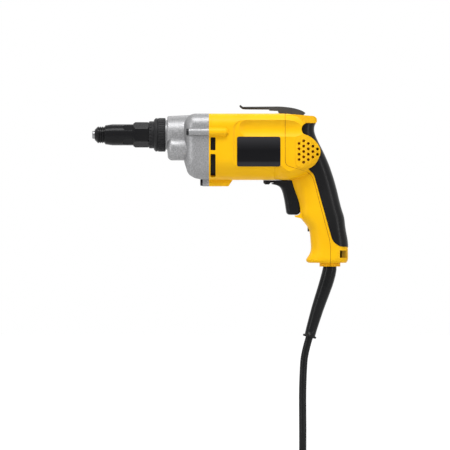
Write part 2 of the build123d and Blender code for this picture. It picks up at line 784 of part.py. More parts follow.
def grille_cap():
    """The slightly raised field round the grille on both sides of the dome."""
    low = GRILLE_Z - CAP_HALF_HEIGHT
    high = GRILLE_Z + CAP_HALF_HEIGHT
    face = rounded_face(
        ((CAP_FRONT, low), (CAP_FRONT, high), (GRIP_BACK, high), (GRIP_BACK, low)),
        (CAP_CORNER, CAP_CORNER, 0, 0),
    )
    return barrel_form(CAP_PROUD) & slab(face, -REACH / 4, REACH / 4)


def clip_screw_hole():
    """The hole for the belt clip's screw."""
    return bar_z(CLIP_SEAT - CLIP_SCREW_LENGTH, CLIP_SEAT + 1, SCREW_RADIUS + RUNNING_FIT, CLIP_SCREW_X)


def clip_seat():
    """The flat on the barrel that the belt clip stands on."""
    half = CLIP_HALF_WIDTH + SEAT_GAP
    return block(
        CLIP_FOOT_FRONT - CLIP_LEAN / 2, CLIP_FOOT_REAR + 2, -half, half, CLIP_SEAT, BODY_TOP + 5
    )


def base_hole():
    """The hole in the base that the cord boot comes out of."""
    return bar_z(BASE_Z - 10, BASE_Z + 5, BOOT_NECK_RADIUS + SEAT_GAP, BOOT_X)


def cover_screw_hole():
    """The hole along the handle's cover screw, with its head's counterbore."""
    hole = rod(100, COVER_SCREW_HEAD_X + COVER_SCREW_LENGTH, SCREW_RADIUS + RUNNING_FIT, 0, COVER_SCREW_Z)
    head = SCREW_HEAD_RADIUS + SEAT_GAP
    return hole + rod(100, COVER_SCREW_HEAD_X, head, 0, COVER_SCREW_Z)


def base_half_width(x):
    """Half the width of the base at a place along its rounded back."""
    _, _, back, half_width = HANDLE_STATIONS[-3]
    radius = half_width - HANDLE_ROUNDNESS
    return HANDLE_ROUNDNESS + math.sqrt(radius**2 - (x - back + radius) ** 2)


def base_recess(side):
    """The slot with a ramped thumb cut on one side of the base."""
    x0 = LOOP_X + LOOP_WIDTH
    x1 = x0 + RAMP_LENGTH
    outside = HANDLE_STATIONS[-2][3] + 5
    floor = base_half_width(x0) - RAMP_DEPTH
    plan = make_face(
        Polyline(
            (LOOP_X, side * outside),
            (LOOP_X, side * (floor - LOOP_DEPTH)),
            (x0, side * (floor - LOOP_DEPTH)),
            (x0, side * floor),
            (x1, side * base_half_width(x1)),
            (x1, side * outside),
            close=True,
        )
    )
    return Pos(0, 0, LOOP_TOP - LOOP_HEIGHT) * extrude(plan, amount=LOOP_HEIGHT)


def trigger_pocket():
    """The opening in the handle's front for trigger and lever."""
    half = TRIGGER_HALF_WIDTH + TRIGGER_GAP
    return block(80, SWITCH_FRONT, -half, half, LIP_TOP, BODY_BOTTOM)


def motor_housing(shell):
    """Barrel and handle front in one moulding, open to the gear case and to the rear."""
    housing = shell - rear_region(-SEAM_GAP / 2)
    for x in (FIELD_X + 2, FIELD_END - 6):
        rib = barrel_slice(x, x + 4, -WALL / 2) - scoops(SCOOP_WALL / 2)
        housing += rib - rod(x, x + 4, FIELD_RADIUS + SEAT_GAP, 0, MOTOR_Z)
    x = BAFFLE_X + BAFFLE_THICKNESS
    housing += barrel_slice(x, x + 3, -WALL / 2) - rod(x, x + 3, FIELD_RADIUS - 2, 0, MOTOR_Z)
    housing += [rod(0, SCREW_REACH + 3, SCREW_BOSS_RADIUS, y, z) for y, z, _ in screw_line_x()]
    half = WEB_THICKNESS / 2
    web_top = MOTOR_Z - FAN_RADIUS - FAN_ROOM
    housing += block(VENT_X - 1, VENT_X + VENT_WIDTH + 1, -half, half, BODY_BOTTOM + WALL / 2, web_top)
    inner = SWITCH_HALF_WIDTH + SEAT_GAP
    x = SWITCH_FRONT + 2
    low = SWITCH_BOTTOM + 6
    inside = [
        block(x, x + CHEEK_LENGTH, inner, 30, low, SWITCH_TOP - 8),
        block(x, x + CHEEK_LENGTH, -30, -inner, low, SWITCH_TOP - 8),
        rod(COVER_SCREW_HEAD_X - 4, BOSS_JOINT_X, COVER_BOSS_RADIUS, 0, COVER_SCREW_Z),
    ]
    housing += (handle_form(-WALL / 2) & (Part() + inside)) - rear_region(-SEAM_GAP / 2)
    cuts = [rod(-1, SCREW_REACH, SCREW_RADIUS + RUNNING_FIT, y, z) for y, z, _ in screw_line_x()]
    for top, bottom in VENT_SPANS:
        slot = RectangleRounded(VENT_WIDTH, top - bottom, VENT_CORNER)
        slot = Pos(VENT_X + VENT_WIDTH / 2, (top + bottom) / 2) * slot
        cuts += [slab(slot, -60, -20), slab(slot, 20, 60)]
    plate = RectangleRounded(PLATE_LENGTH + SEAT_GAP, PLATE_HEIGHT + SEAT_GAP, PLATE_CORNER)
    plate = Pos(PLATE_X + PLATE_LENGTH / 2, PLATE_TOP - PLATE_HEIGHT / 2) * plate
    cuts.append(slab(plate, -PANEL_Y - 5, -PANEL_Y + PLATE_RECESS))
    cuts += [trigger_pocket(), cover_screw_hole(), base_hole(), clip_seat()]
    return housing - cuts


def grille_holes():
    """The round holes of both grilles."""
    holes = []
    for column, rows in enumerate(GRILLE_ROWS):
        x = GRILLE_X + (column - 1) * GRILLE_PITCH * math.sin(math.radians(60))
        for row in range(rows):
            z = GRILLE_Z + (row - (rows - 1) / 2) * GRILLE_PITCH
            right = Pos(x, 12, z) * extrude(Plane.XZ * Circle(GRILLE_HOLE_RADIUS), amount=-30)
            holes += [right, mirror(right, Plane.XZ)]
    return holes


def rear_cover(shell, grip):
    """Rear of barrel and handle, with the grille, which carries the rubber grip."""
    cover = shell & rear_region(SEAM_GAP / 2)
    boss = rod(BOSS_JOINT_X + SEAM_GAP, 200, COVER_BOSS_RADIUS, 0, COVER_SCREW_Z)
    cover += handle_form(-WALL / 2) & boss & rear_region(SEAM_GAP / 2)
    web = WEB_THICKNESS / 2
    low = GRILLE_Z - CAP_HALF_HEIGHT
    webs = block(GRILLE_WEB_FRONT, GRIP_BACK, -web, web, low, low + 2 * CAP_HALF_HEIGHT)
    webs += block(LOOP_X - LOOP_WIDTH, GRIP_BACK, -web, web, LOOP_TOP - LOOP_HEIGHT, LOOP_TOP)
    cover += handle_form(-(GRIP_DEPTH + WALL) / 2) & webs
    cuts = [grip, clip_seat(), clip_screw_hole(), cover_screw_hole(), base_hole()]
    cuts += [base_recess(-1), base_recess(1)]
    return cover - cuts - grille_holes()


def rubber_grip():
    """The rubber skin on the handle's back, a little proud of the plastic."""
    skin = handle_form(GRIP_PROUD) - handle_form(-GRIP_DEPTH)
    return (skin & grip_region(-SEAT_GAP)) - tail_form()


def name_plate():
    """The bare plate on the left-hand side."""
    plate = RectangleRounded(PLATE_LENGTH, PLATE_HEIGHT, PLATE_CORNER)
    plate = Pos(PLATE_X + PLATE_LENGTH / 2, PLATE_TOP - PLATE_HEIGHT / 2) * plate
    inside = -PANEL_Y + PLATE_RECESS
    return slab(plate, inside - PLATE_THICKNESS, inside)


def gear_case():
    """The die-cast case: bowl, spindle boss, lay shaft lobe, neck and screw ribs."""
    bowl = Pos(-BOWL_LENGTH, 0, 0) * extrude(Plane.YZ * barrel_section(0), amount=BOWL_LENGTH)
    bowl = fillet(bowl.faces().sort_by(Axis.X)[0].edges(), BOWL_FRONT_RADIUS)
    below = BODY_BOTTOM - BOWL_LENGTH
    ahead = -2 * BOWL_LENGTH
    outside = ((BOWL_CHIN[-1][0], below), (ahead, below), (ahead, BOWL_CHIN[0][1]))
    chin = rounded_face(
        (*BOWL_CHIN, *outside),
        (0, BOWL_CHIN_RADIUS, BOWL_CHIN_RADIUS, 0, 0, 0, 0),
    )
    bowl -= slab(chin, -BODY_HALF_WIDTH, BODY_HALF_WIDTH)
    boss = turned(
        ((CASE_FRONT, 0), (CASE_FRONT, BOSS_FRONT_RADIUS), (-1, BOSS_REAR_RADIUS), (-1, 0))
    )
    boss = fillet(boss.faces().sort_by(Axis.X)[0].edges(), CASE_EDGE_RADIUS)
    lobe = rod(CASE_FRONT + 0.6, -8, LOBE_RADIUS, LAY_Y, LAY_Z)
    lobe = fillet(lobe.faces().sort_by(Axis.X)[0].edges(), LOBE_FRONT_RADIUS)
    case = bowl + boss + lobe + rod(NECK_FRONT, CASE_FRONT + 1, NECK_RADIUS)
    for side in (-1, 1):
        case += rod(RIB_FRONT, 0, RIB_RADIUS, side * RIB_HALF_SPAN, RIB_Z)
    case += Pos(LUG_FRONT, 0, 0) * extrude(Plane.YZ * lug_section(), amount=-LUG_FRONT)
    clutch_room = SECOND_MODULE * CLUTCH_GEAR_TEETH / 2 + SECOND_MODULE + TOOTH_ROOM
    lay_room = FIRST_MODULE * LAY_GEAR_TEETH / 2 + FIRST_MODULE + TOOTH_ROOM
    pinion_room = SECOND_MODULE * (LAY_PINION_TEETH / 2 + 1 + SECOND_SHIFT) + TOOTH_ROOM
    case -= rod(BUSH_REAR - 0.2, PLATE_FRONT, clutch_room)
    case -= rod(LAY_GEAR_FRONT - GEAR_SIDE_GAP, PLATE_FRONT, lay_room, LAY_Y, LAY_Z)
    case -= rod(LAY_FRONT + LAY_BUSH_LENGTH, PLATE_FRONT, pinion_room, LAY_Y, LAY_Z)
    case -= rod(PINION_FRONT - 1, PLATE_FRONT, SHAFT_RADIUS + 3, 0, MOTOR_Z)
    case -= rod(NECK_FRONT - 1, BUSH_REAR, BUSH_RADIUS + RUNNING_FIT)
    lay_bush = LAY_SHAFT_RADIUS + LAY_BUSH_WALL
    case -= rod(LAY_FRONT, LAY_FRONT + LAY_BUSH_LENGTH + 1, lay_bush + RUNNING_FIT, LAY_Y, LAY_Z)
    case -= rod(PLATE_FRONT, 1, BEARING_PLATE_RADIUS + RUNNING_FIT, 0, MOTOR_Z)
    for y, z, front in screw_line_x():
        case -= rod(front - 1, 1, SCREW_RADIUS + RUNNING_FIT, y, z)
        case -= rod(front - 40, front, SCREW_HEAD_RADIUS + SEAT_GAP, y, z)
    return case


def case_screws():
    """Three pan head screws that hold the gear case on the housing."""
    screws = Part()
    for y, z, front in screw_line_x():
        screw = rod(front - SCREW_HEAD_HEIGHT, front, SCREW_HEAD_RADIUS, y, z)
        screw = fillet(screw.faces().sort_by(Axis.X)[0].edges(), 1.0)
        screw += rod(front, SCREW_REACH - 1, SCREW_RADIUS, y, z)
        socket = Pos(front - SCREW_HEAD_HEIGHT, y, z) * extrude(
            Plane.YZ * hexagon(2 * SCREW_RECESS_RADIUS), amount=SCREW_RECESS_DEPTH
        )
        screws += screw - socket
    return screws


def bearing_plate():
    """The plate that closes the gear case and carries three shafts."""
    plate = rod(PLATE_FRONT, 0, BEARING_PLATE_RADIUS, 0, MOTOR_Z)
    plate += rod(PILOT_FRONT, PLATE_FRONT, PILOT_BOSS_RADIUS)
    plate -= rod(PILOT_FRONT - 1, PLATE_FRONT + 0.6, PILOT_RADIUS + RUNNING_FIT)
    plate -= rod(-BEARING_WIDTH, 1, FRONT_BEARING_RADIUS + RUNNING_FIT, 0, MOTOR_Z)
    plate -= rod(PLATE_FRONT - 1, 0, SHAFT_RADIUS + 2, 0, MOTOR_Z)
    bush = LAY_SHAFT_RADIUS + LAY_BUSH_WALL
    plate -= rod(PLATE_FRONT - 1, PLATE_FRONT + LAY_BUSH_LENGTH, bush + RUNNING_FIT, LAY_Y, LAY_Z)
    return plate


def bearing(x0, outer, inner):
    """A shielded ball bearing on the motor axis, as one ring with its shields set back."""
    ring = tube(x0, x0 + BEARING_WIDTH, outer, inner, 0, MOTOR_Z)
    middle = (outer + inner) / 2
    half = (outer - inner) / 4
    for x in (x0, x0 + BEARING_WIDTH - BEARING_SHIELD_DEPTH):
        ring -= tube(x, x + BEARING_SHIELD_DEPTH, middle + half, middle - half, 0, MOTOR_Z)
    return ring


def spindle_bush():
    """The bronze bush that carries the spindle in the neck."""
    return tube(NECK_FRONT, BUSH_REAR, BUSH_RADIUS, SPINDLE_RADIUS + RUNNING_FIT)


def thrust_washer():
    """The washer between bush and spindle flange."""
    return tube(BUSH_REAR, FLANGE_FRONT, FLANGE_RADIUS - 0.5, SPINDLE_RADIUS + RUNNING_FIT)


def dogs(x0, x1, first_angle):
    """The clutch's driving dogs, spaced evenly round the spindle axis."""
    ring = Part()
    for dog in range(DOG_COUNT):
        angle = first_angle + dog * 360 / DOG_COUNT
        ring += sector(x0, x1, FLANGE_RADIUS, DOG_INNER_RADIUS, angle, DOG_ANGLE / 2)
    return ring


def spindle():
    """The spindle: hex socket in front, clutch flange with dogs, and a tail in the clutch gear."""
    tail_end = PILOT_FRONT - LOOSE_FIT
    shaft = rod(SPINDLE_FRONT, FLANGE_FRONT, SPINDLE_RADIUS)
    shaft = chamfer(shaft.faces().sort_by(Axis.X)[0].edges(), 0.8)
    shaft += rod(FLANGE_FRONT, FLANGE_REAR, FLANGE_RADIUS)
    shaft += rod(FLANGE_REAR, tail_end - PUSH_TRAVEL, SPINDLE_TAIL_RADIUS)
    shaft += rod(tail_end - PUSH_TRAVEL, PLATE_FRONT - PUSH_TRAVEL, PILOT_RADIUS)
    shaft += dogs(FLANGE_REAR, FLANGE_REAR + DOG_LENGTH, 90)
    socket = hexagon(SHANK_ACROSS_FLATS + 2 * RUNNING_FIT)
    return shaft - Pos(SPINDLE_FRONT, 0, 0) * extrude(Plane.YZ * socket, amount=SHANK_LENGTH + 0.5)


def bit_holder():
    """The magnetic bit holder with its hex shank in the spindle."""
    neck = BIT_HOLDER_RADIUS - 0.8
    holder = turned(
        (
            (BIT_TIP, 0),
            (BIT_TIP, BIT_HOLDER_RADIUS - 0.6),
            (BIT_TIP + 0.6, BIT_HOLDER_RADIUS),
            (SPINDLE_FRONT - 12, BIT_HOLDER_RADIUS),
            (SPINDLE_FRONT - 11, neck),
            (SPINDLE_FRONT - 8, neck),
            (SPINDLE_FRONT - 7, BIT_HOLDER_RADIUS),
            (SPINDLE_FRONT, BIT_HOLDER_RADIUS),
            (SPINDLE_FRONT, 0),
        )
    )
    shank = hexagon(SHANK_ACROSS_FLATS)
    holder += Pos(SPINDLE_FRONT, 0, 0) * extrude(Plane.YZ * shank, amount=SHANK_LENGTH)
    socket = hexagon(BIT_ACROSS_FLATS)
    holder -= Pos(BIT_TIP, 0, 0) * extrude(Plane.YZ * socket, amount=BIT_SOCKET_DEPTH)
    floor = BIT_TIP + BIT_SOCKET_DEPTH
    return holder - rod(floor, floor + MAGNET_LENGTH, MAGNET_RADIUS + RUNNING_FIT)


def bit_magnet():
    """The magnet under the bit."""
    floor = BIT_TIP + BIT_SOCKET_DEPTH
    return rod(floor, floor + MAGNET_LENGTH, MAGNET_RADIUS)


def nose_tip():
    """The ribbed locator tip with its spigot in the nose sleeve."""
    bore = BIT_HOLDER_RADIUS + TIP_BORE_CLEARANCE
    rib_start = TIP_FRONT + TIP_CHAMFER
    pitch = (SLEEVE_FRONT - 1 - rib_start) / TIP_RIBS
    outline = [(TIP_FRONT, bore), (TIP_FRONT, TIP_RADIUS - TIP_CHAMFER)]
    for rib in range(TIP_RIBS):
        x = rib_start + rib * pitch
        outline += [
            (x, TIP_RADIUS),
            (x + 0.6 * pitch, TIP_RADIUS),
            (x + 0.7 * pitch, TIP_RADIUS - TIP_GROOVE_DEPTH),
            (x + 0.9 * pitch, TIP_RADIUS - TIP_GROOVE_DEPTH),
        ]
    outline += [
        (SLEEVE_FRONT - 1, TIP_RADIUS),
        (SLEEVE_FRONT, TIP_RADIUS),
        (SLEEVE_FRONT, SLEEVE_BORE - RUNNING_FIT),
        (SLEEVE_FRONT + TIP_SPIGOT, SLEEVE_BORE - RUNNING_FIT),
        (SLEEVE_FRONT + TIP_SPIGOT, bore + 1.5),
        (SLEEVE_FRONT - 2, bore),
    ]
    return turned(outline)


def nose_sleeve():
    """The plain sleeve of the nose, with finger flats at its rear and a tail in the collar."""
    tail_end = COLLAR_FRONT + COLLAR_WALL + NOSE_RING_WIDTH + 0.5
    sleeve = turned(
        (
            (SLEEVE_FRONT, SLEEVE_BORE),
            (SLEEVE_FRONT, SLEEVE_FRONT_RADIUS - 0.6),
            (SLEEVE_FRONT + 0.6, SLEEVE_FRONT_RADIUS),
            (SLEEVE_FRONT + SLEEVE_TAPER_LENGTH, SLEEVE_RADIUS),
            (HEX_FRONT, SLEEVE_RADIUS),
            (HEX_FRONT, SLEEVE_TAIL_RADIUS),
            (tail_end, SLEEVE_TAIL_RADIUS),
            (tail_end, SLEEVE_BORE),
        )
    )
    ring_x = COLLAR_FRONT + COLLAR_WALL + SEAT_GAP
    sleeve -= tube(ring_x, ring_x + NOSE_RING_WIDTH, SLEEVE_TAIL_RADIUS + 1, SLEEVE_TAIL_RADIUS - 0.8)
    floor = SLEEVE_RADIUS - FLAT_DEPTH
    cut = block(HEX_FRONT - FLAT_LENGTH, HEX_FRONT, -4.5, 4.5, floor, SLEEVE_RADIUS + 5)
    cut += bar_z(floor, SLEEVE_RADIUS + 5, 4.5, HEX_FRONT - FLAT_LENGTH)
    return sleeve - [Rot(45 + 360 / SLEEVE_FLATS * flat, 0, 0) * cut for flat in range(SLEEVE_FLATS)]


def hex_collar():
    """The hexagonal collar on the sleeve, with its corners turned down."""
    hexagonal = RegularPolygon(HEX_CORNER_RADIUS, 6, rotation=30)
    collar = Pos(HEX_FRONT, 0, 0) * extrude(Plane.YZ * hexagonal, amount=HEX_LENGTH)
    envelope = turned(
        (
            (HEX_FRONT, 0),
            (HEX_FRONT, HEX_TURNED_RADIUS - 1.6),
            (HEX_FRONT + 2.4, HEX_TURNED_RADIUS),
            (HEX_REAR - 1, HEX_TURNED_RADIUS),
            (HEX_REAR, HEX_TURNED_RADIUS - 0.6),
            (HEX_REAR, 0),
        )
    )
    return (collar & envelope) - rod(HEX_FRONT - 1, HEX_REAR + 1, SLEEVE_TAIL_RADIUS + RUNNING_FIT)


def nose_ring():
    """The spring ring that keeps the nose in the collar."""
    x = COLLAR_FRONT + COLLAR_WALL + SEAT_GAP
    ring = tube(x, x + NOSE_RING_WIDTH, NOSE_RING_RADIUS, SLEEVE_TAIL_RADIUS - 0.8 + RUNNING_FIT)
    return ring - block(x - 1, x + NOSE_RING_WIDTH + 1, -2, 2, 0, NOSE_RING_RADIUS + 1)


def detent_ring():
    """The notched ring in front of the collar."""
    ring = turned(
        (
            (HEX_REAR + SEAT_GAP, SLEEVE_TAIL_RADIUS + LOOSE_FIT),
            (HEX_REAR + SEAT_GAP, DETENT_RADIUS - 0.8),
            (HEX_REAR + 0.9, DETENT_RADIUS),
            (COLLAR_FRONT, DETENT_RADIUS),
            (COLLAR_FRONT, SLEEVE_TAIL_RADIUS + LOOSE_FIT),
        )
    )
    cut = rod(HEX_REAR - 1, HEX_REAR + 3.2, NOTCH_RADIUS, 0, DETENT_RADIUS)
    return ring - [Rot(360 / DETENT_NOTCHES * notch, 0, 0) * cut for notch in range(DETENT_NOTCHES)]


def adjusting_collar():
    """The big collar that turns on the neck's thread, fluted round its rear band."""
    bore = NECK_RADIUS + 2 * RUNNING_FIT
    band = COLLAR_FRONT + 4.6
    collar = turned(
        (
            (COLLAR_FRONT, SLEEVE_TAIL_RADIUS + LOOSE_FIT),
            (COLLAR_FRONT, COLLAR_RADIUS - 2.2),
            (COLLAR_FRONT + 2.0, COLLAR_RADIUS - 0.2),
            (band - 0.6, COLLAR_RADIUS - 0.2),
            (band - 0.3, COLLAR_RADIUS - 0.8),
            (band + 0.3, COLLAR_RADIUS - 0.8),
            (band + 0.6, COLLAR_RADIUS),
            (COLLAR_REAR - 0.8, COLLAR_RADIUS),
            (COLLAR_REAR, COLLAR_RADIUS - 0.8),
            (COLLAR_REAR, bore),
            (COLLAR_FRONT + COLLAR_WALL, bore),
            (COLLAR_FRONT + COLLAR_WALL, SLEEVE_TAIL_RADIUS + LOOSE_FIT),
        )
    )
    cut = rod(band + 1.0, COLLAR_REAR + 1, FLUTE_RADIUS, 0, COLLAR_RADIUS + 0.1)
    return collar - [Rot(360 / COLLAR_FLUTES * flute, 0, 0) * cut for flute in range(COLLAR_FLUTES)]


def clutch_gear():
    """The clutch gear, free on the spindle's tail, with dogs between the spindle's."""
    to_lay = angle_to(LAY_Y, LAY_Z)
    half_gap = 180 / CLUTCH_GEAR_TEETH
    wheel = gear(
        SECOND_MODULE,
        CLUTCH_GEAR_TEETH,
        -SECOND_SHIFT,
        CLUTCH_GEAR_FRONT,
        CLUTCH_GEAR_REAR,
        to_lay + half_gap,
        0,
        0,
    )
    wheel += rod(CLUTCH_GEAR_REAR, PILOT_FRONT - LOOSE_FIT, CLUTCH_HUB_RADIUS)
    wheel += dogs(CLUTCH_GEAR_FRONT - DOG_LENGTH, CLUTCH_GEAR_FRONT, 90 + 180 / DOG_COUNT)
    return wheel - rod(FLANGE_REAR, PLATE_FRONT, SPINDLE_TAIL_RADIUS + RUNNING_FIT)


def clutch_spring():
    """The spring that holds the spindle forwards."""
    room = CLUTCH_GEAR_FRONT - FLANGE_REAR
    coil = spring(room - 2 * SEAT_GAP, CLUTCH_SPRING_RADIUS, SPRING_WIRE_RADIUS, CLUTCH_SPRING_TURNS)
    return Pos(FLANGE_REAR + SEAT_GAP, 0, 0) * Rot(0, 90, 0) * coil


def lay_shaft():
    """The lay shaft with the second pinion cut on it."""
    shaft = rod(LAY_FRONT + SEAT_GAP, PLATE_FRONT + LAY_BUSH_LENGTH, LAY_SHAFT_RADIUS, LAY_Y, LAY_Z)
    shaft += gear(
        SECOND_MODULE,
        LAY_PINION_TEETH,
        SECOND_SHIFT,
        LAY_PINION_FRONT,
        LAY_GEAR_FRONT,
        angle_to(0, 0, LAY_Y, LAY_Z),
        LAY_Y,
        LAY_Z,
    )
    return shaft


def lay_gear():
    """The big gear pressed on the lay shaft."""
    to_motor = angle_to(0, MOTOR_Z, LAY_Y, LAY_Z)
    half_gap = 180 / LAY_GEAR_TEETH
    wheel = gear(
        FIRST_MODULE,
        LAY_GEAR_TEETH,
        -FIRST_SHIFT,
        LAY_GEAR_FRONT,
        LAY_GEAR_REAR,
        to_motor + half_gap,
        LAY_Y,
        LAY_Z,
    )
    dish = tube(LAY_GEAR_REAR - 2, LAY_GEAR_REAR, 10.5, 6.0, LAY_Y, LAY_Z)
    return wheel - dish - rod(LAY_GEAR_FRONT, LAY_GEAR_REAR, LAY_SHAFT_RADIUS + RUNNING_FIT, LAY_Y, LAY_Z)


def lay_bushes():
    """The two bushes of the lay shaft, in gear case and bearing plate."""
    outer = LAY_SHAFT_RADIUS + LAY_BUSH_WALL
    inner = LAY_SHAFT_RADIUS + RUNNING_FIT
    front = tube(LAY_FRONT, LAY_FRONT + LAY_BUSH_LENGTH, outer, inner, LAY_Y, LAY_Z)
    return front + tube(PLATE_FRONT, PLATE_FRONT + LAY_BUSH_LENGTH, outer, inner, LAY_Y, LAY_Z)


def armature_shaft():
    """The armature's shaft with its pinion."""
    shaft = rod(PINION_REAR, CARRIER_X + 1 + BEARING_WIDTH, SHAFT_RADIUS, 0, MOTOR_Z)
    shaft += gear(
        FIRST_MODULE,
        PINION_TEETH,
        FIRST_SHIFT,
        PINION_FRONT,
        PINION_REAR,
        angle_to(LAY_Y, LAY_Z, 0, MOTOR_Z),
        0,
        MOTOR_Z,
        SHAFT_RADIUS - RUNNING_FIT,
    )
    return shaft


def armature_core():
    """The armature's laminated core with its winding slots."""
    core = tube(FIELD_X + 1, FIELD_END - 1, CORE_RADIUS, SHAFT_RADIUS, 0, 0)
    half = CORE_SLOT_WIDTH / 2
    cut = block(0, FIELD_END + 5, -half, half, CORE_RADIUS - CORE_SLOT_DEPTH, CORE_RADIUS + 2)
    core -= [Rot(360 / CORE_SLOTS * slot, 0, 0) * cut for slot in range(CORE_SLOTS)]
    return Pos(0, 0, MOTOR_Z) * core


def armature_windings():
    """The rounded heads of the armature's windings at both ends of the core."""
    heads = Part()
    for x in (FIELD_X + 1 - WINDING_LENGTH, FIELD_END - 1):
        head = tube(x, x + WINDING_LENGTH, WINDING_RADIUS, SHAFT_RADIUS, 0, MOTOR_Z)
        outside = head.edges().filter_by(GeomType.CIRCLE).group_by(SortBy.RADIUS)[-1]
        heads += fillet(outside, 2.8)
    return heads


def commutator():
    """The commutator's copper bars on the shaft."""
    drum = tube(COMMUTATOR_X, COMMUTATOR_X + COMMUTATOR_LENGTH, COMMUTATOR_RADIUS, SHAFT_RADIUS)
    half = BAR_GAP / 2
    cut = block(0, CARRIER_X, -half, half, COMMUTATOR_RADIUS - BAR_GAP_DEPTH, COMMUTATOR_RADIUS + 1)
    drum -= [Rot(360 / COMMUTATOR_BARS * bar, 0, 0) * cut for bar in range(COMMUTATOR_BARS)]
    return Pos(0, 0, MOTOR_Z) * drum


def fan():
    """The fan on the shaft, with straight blades on a disc."""
    disc_x = FAN_X + FAN_LENGTH - FAN_DISC
    wheel = rod(disc_x, FAN_X + FAN_LENGTH, FAN_RADIUS) + rod(FAN_X, disc_x, FAN_HUB_RADIUS)
    half = FAN_BLADE_THICKNESS / 2
    vane = block(FAN_X, disc_x, -half, half, FAN_HUB_RADIUS - 1, FAN_RADIUS - 0.5)
    wheel += [Rot(360 / FAN_BLADES * blade, 0, 0) * vane for blade in range(FAN_BLADES)]
    wheel -= rod(FAN_X - 1, FAN_X + FAN_LENGTH + 1, SHAFT_RADIUS)
    return Pos(0, 0, MOTOR_Z) * wheel


def fan_baffle():
    """The ring that keeps the fan's air from running back."""
    x1 = BAFFLE_X + BAFFLE_THICKNESS
    ring = barrel_slice(BAFFLE_X, x1, -WALL - SEAT_GAP) - scoops(SCOOP_WALL + SEAT_GAP)
    ring -= [
        rod(BAFFLE_X, x1, SCREW_BOSS_RADIUS + SEAT_GAP, y, z) for y, z, _ in screw_line_x()
    ]
    return ring - rod(BAFFLE_X, x1, BAFFLE_BORE, 0, MOTOR_Z)


def field_stack():
    """The field's laminated ring with slots for its coils."""
    stack = tube(FIELD_X, FIELD_END, FIELD_RADIUS, FIELD_BORE, 0, MOTOR_Z)
    for middle in (0, 180):
        stack -= sector(
            FIELD_X - 1, FIELD_END + 1, FIELD_SLOT_RADIUS, 10, middle, FIELD_SLOT_ANGLE, 0, MOTOR_Z
        )
    return stack


def field_coils():
    """Two saddle coils, one over each pole."""
    outer = FIELD_SLOT_RADIUS - 0.5
    x0 = FIELD_X - COIL_HEAD_LENGTH
    x1 = FIELD_END + COIL_HEAD_LENGTH
    coils = Part()
    for middle in (90, 270):
        span = 90 - COIL_BAR_START
        inside = 90 - COIL_BAR_END
        coil = sector(x0, x1, outer, COIL_INNER_RADIUS, middle, span, 0, MOTOR_Z)
        window = sector(
            FIELD_X - SEAT_GAP, FIELD_END + SEAT_GAP, outer + 5, 5, middle, inside, 0, MOTOR_Z
        )
        coils += coil - window
    return coils


def brush_carrier():
    """The moulded plate that carries rear bearing and brush holders."""
    hub = REAR_BEARING_RADIUS + CARRIER_HUB_WALL
    plate = rod(CARRIER_X, CARRIER_X + CARRIER_THICKNESS, CARRIER_RADIUS, 0, MOTOR_Z)
    plate &= barrel_form(-WALL - SEAT_GAP)
    plate += rod(CARRIER_X, CARRIER_X + 1 + BEARING_WIDTH, hub, 0, MOTOR_Z)
    plate -= rod(CARRIER_X + 1, 130, REAR_BEARING_RADIUS + RUNNING_FIT, 0, MOTOR_Z)
    return plate - rod(CARRIER_X - 1, 130, SHAFT_RADIUS + 2, 0, MOTOR_Z)


def brush_middle():
    """Where the brushes stand along the commutator."""
    return CARRIER_X - BRUSH_WIDTH / 2 - HOLDER_WALL


def brush_holders():
    """Two brass boxes on the carrier, one each side."""
    half_x = BRUSH_WIDTH / 2 + SEAT_GAP
    half_z = BRUSH_HEIGHT / 2 + SEAT_GAP
    middle = brush_middle()
    boxes = Part()
    for side in (-1, 1):
        y0, y1 = sorted((side * HOLDER_START, side * HOLDER_END))
        wall_x = half_x + HOLDER_WALL - SEAT_GAP
        wall_z = half_z + HOLDER_WALL
        box = block(middle - wall_x, middle + wall_x, y0, y1, MOTOR_Z - wall_z, MOTOR_Z + wall_z)
        stop = side * (HOLDER_END - HOLDER_WALL)
        v0, v1 = sorted((side * (HOLDER_START - 1), stop))
        boxes += box - block(
            middle - half_x, middle + half_x, v0, v1, MOTOR_Z - half_z, MOTOR_Z + half_z
        )
    return boxes


def carbon_brushes():
    """Two carbon brushes shaped to the commutator."""
    middle = brush_middle()
    half_x = BRUSH_WIDTH / 2
    half_z = BRUSH_HEIGHT / 2
    brushes = Part()
    for side in (-1, 1):
        y0, y1 = sorted((side * 10, side * (COMMUTATOR_RADIUS + BRUSH_LENGTH)))
        brush = block(middle - half_x, middle + half_x, y0, y1, MOTOR_Z - half_z, MOTOR_Z + half_z)
        brushes += brush - rod(0, CARRIER_X + 5, COMMUTATOR_RADIUS + SEAT_GAP, 0, MOTOR_Z)
    return brushes


def brush_springs():
    """The springs behind the brushes."""
    start = COMMUTATOR_RADIUS + BRUSH_LENGTH + RUNNING_FIT
    length = HOLDER_END - HOLDER_WALL - RUNNING_FIT - start
    coil = spring(length, BRUSH_SPRING_RADIUS, BRUSH_SPRING_WIRE, BRUSH_SPRING_TURNS)
    right = Pos(brush_middle(), start, MOTOR_Z) * Rot(-90, 0, 0) * coil
    left = Pos(brush_middle(), -start, MOTOR_Z) * Rot(90, 0, 0) * coil
    return right + left


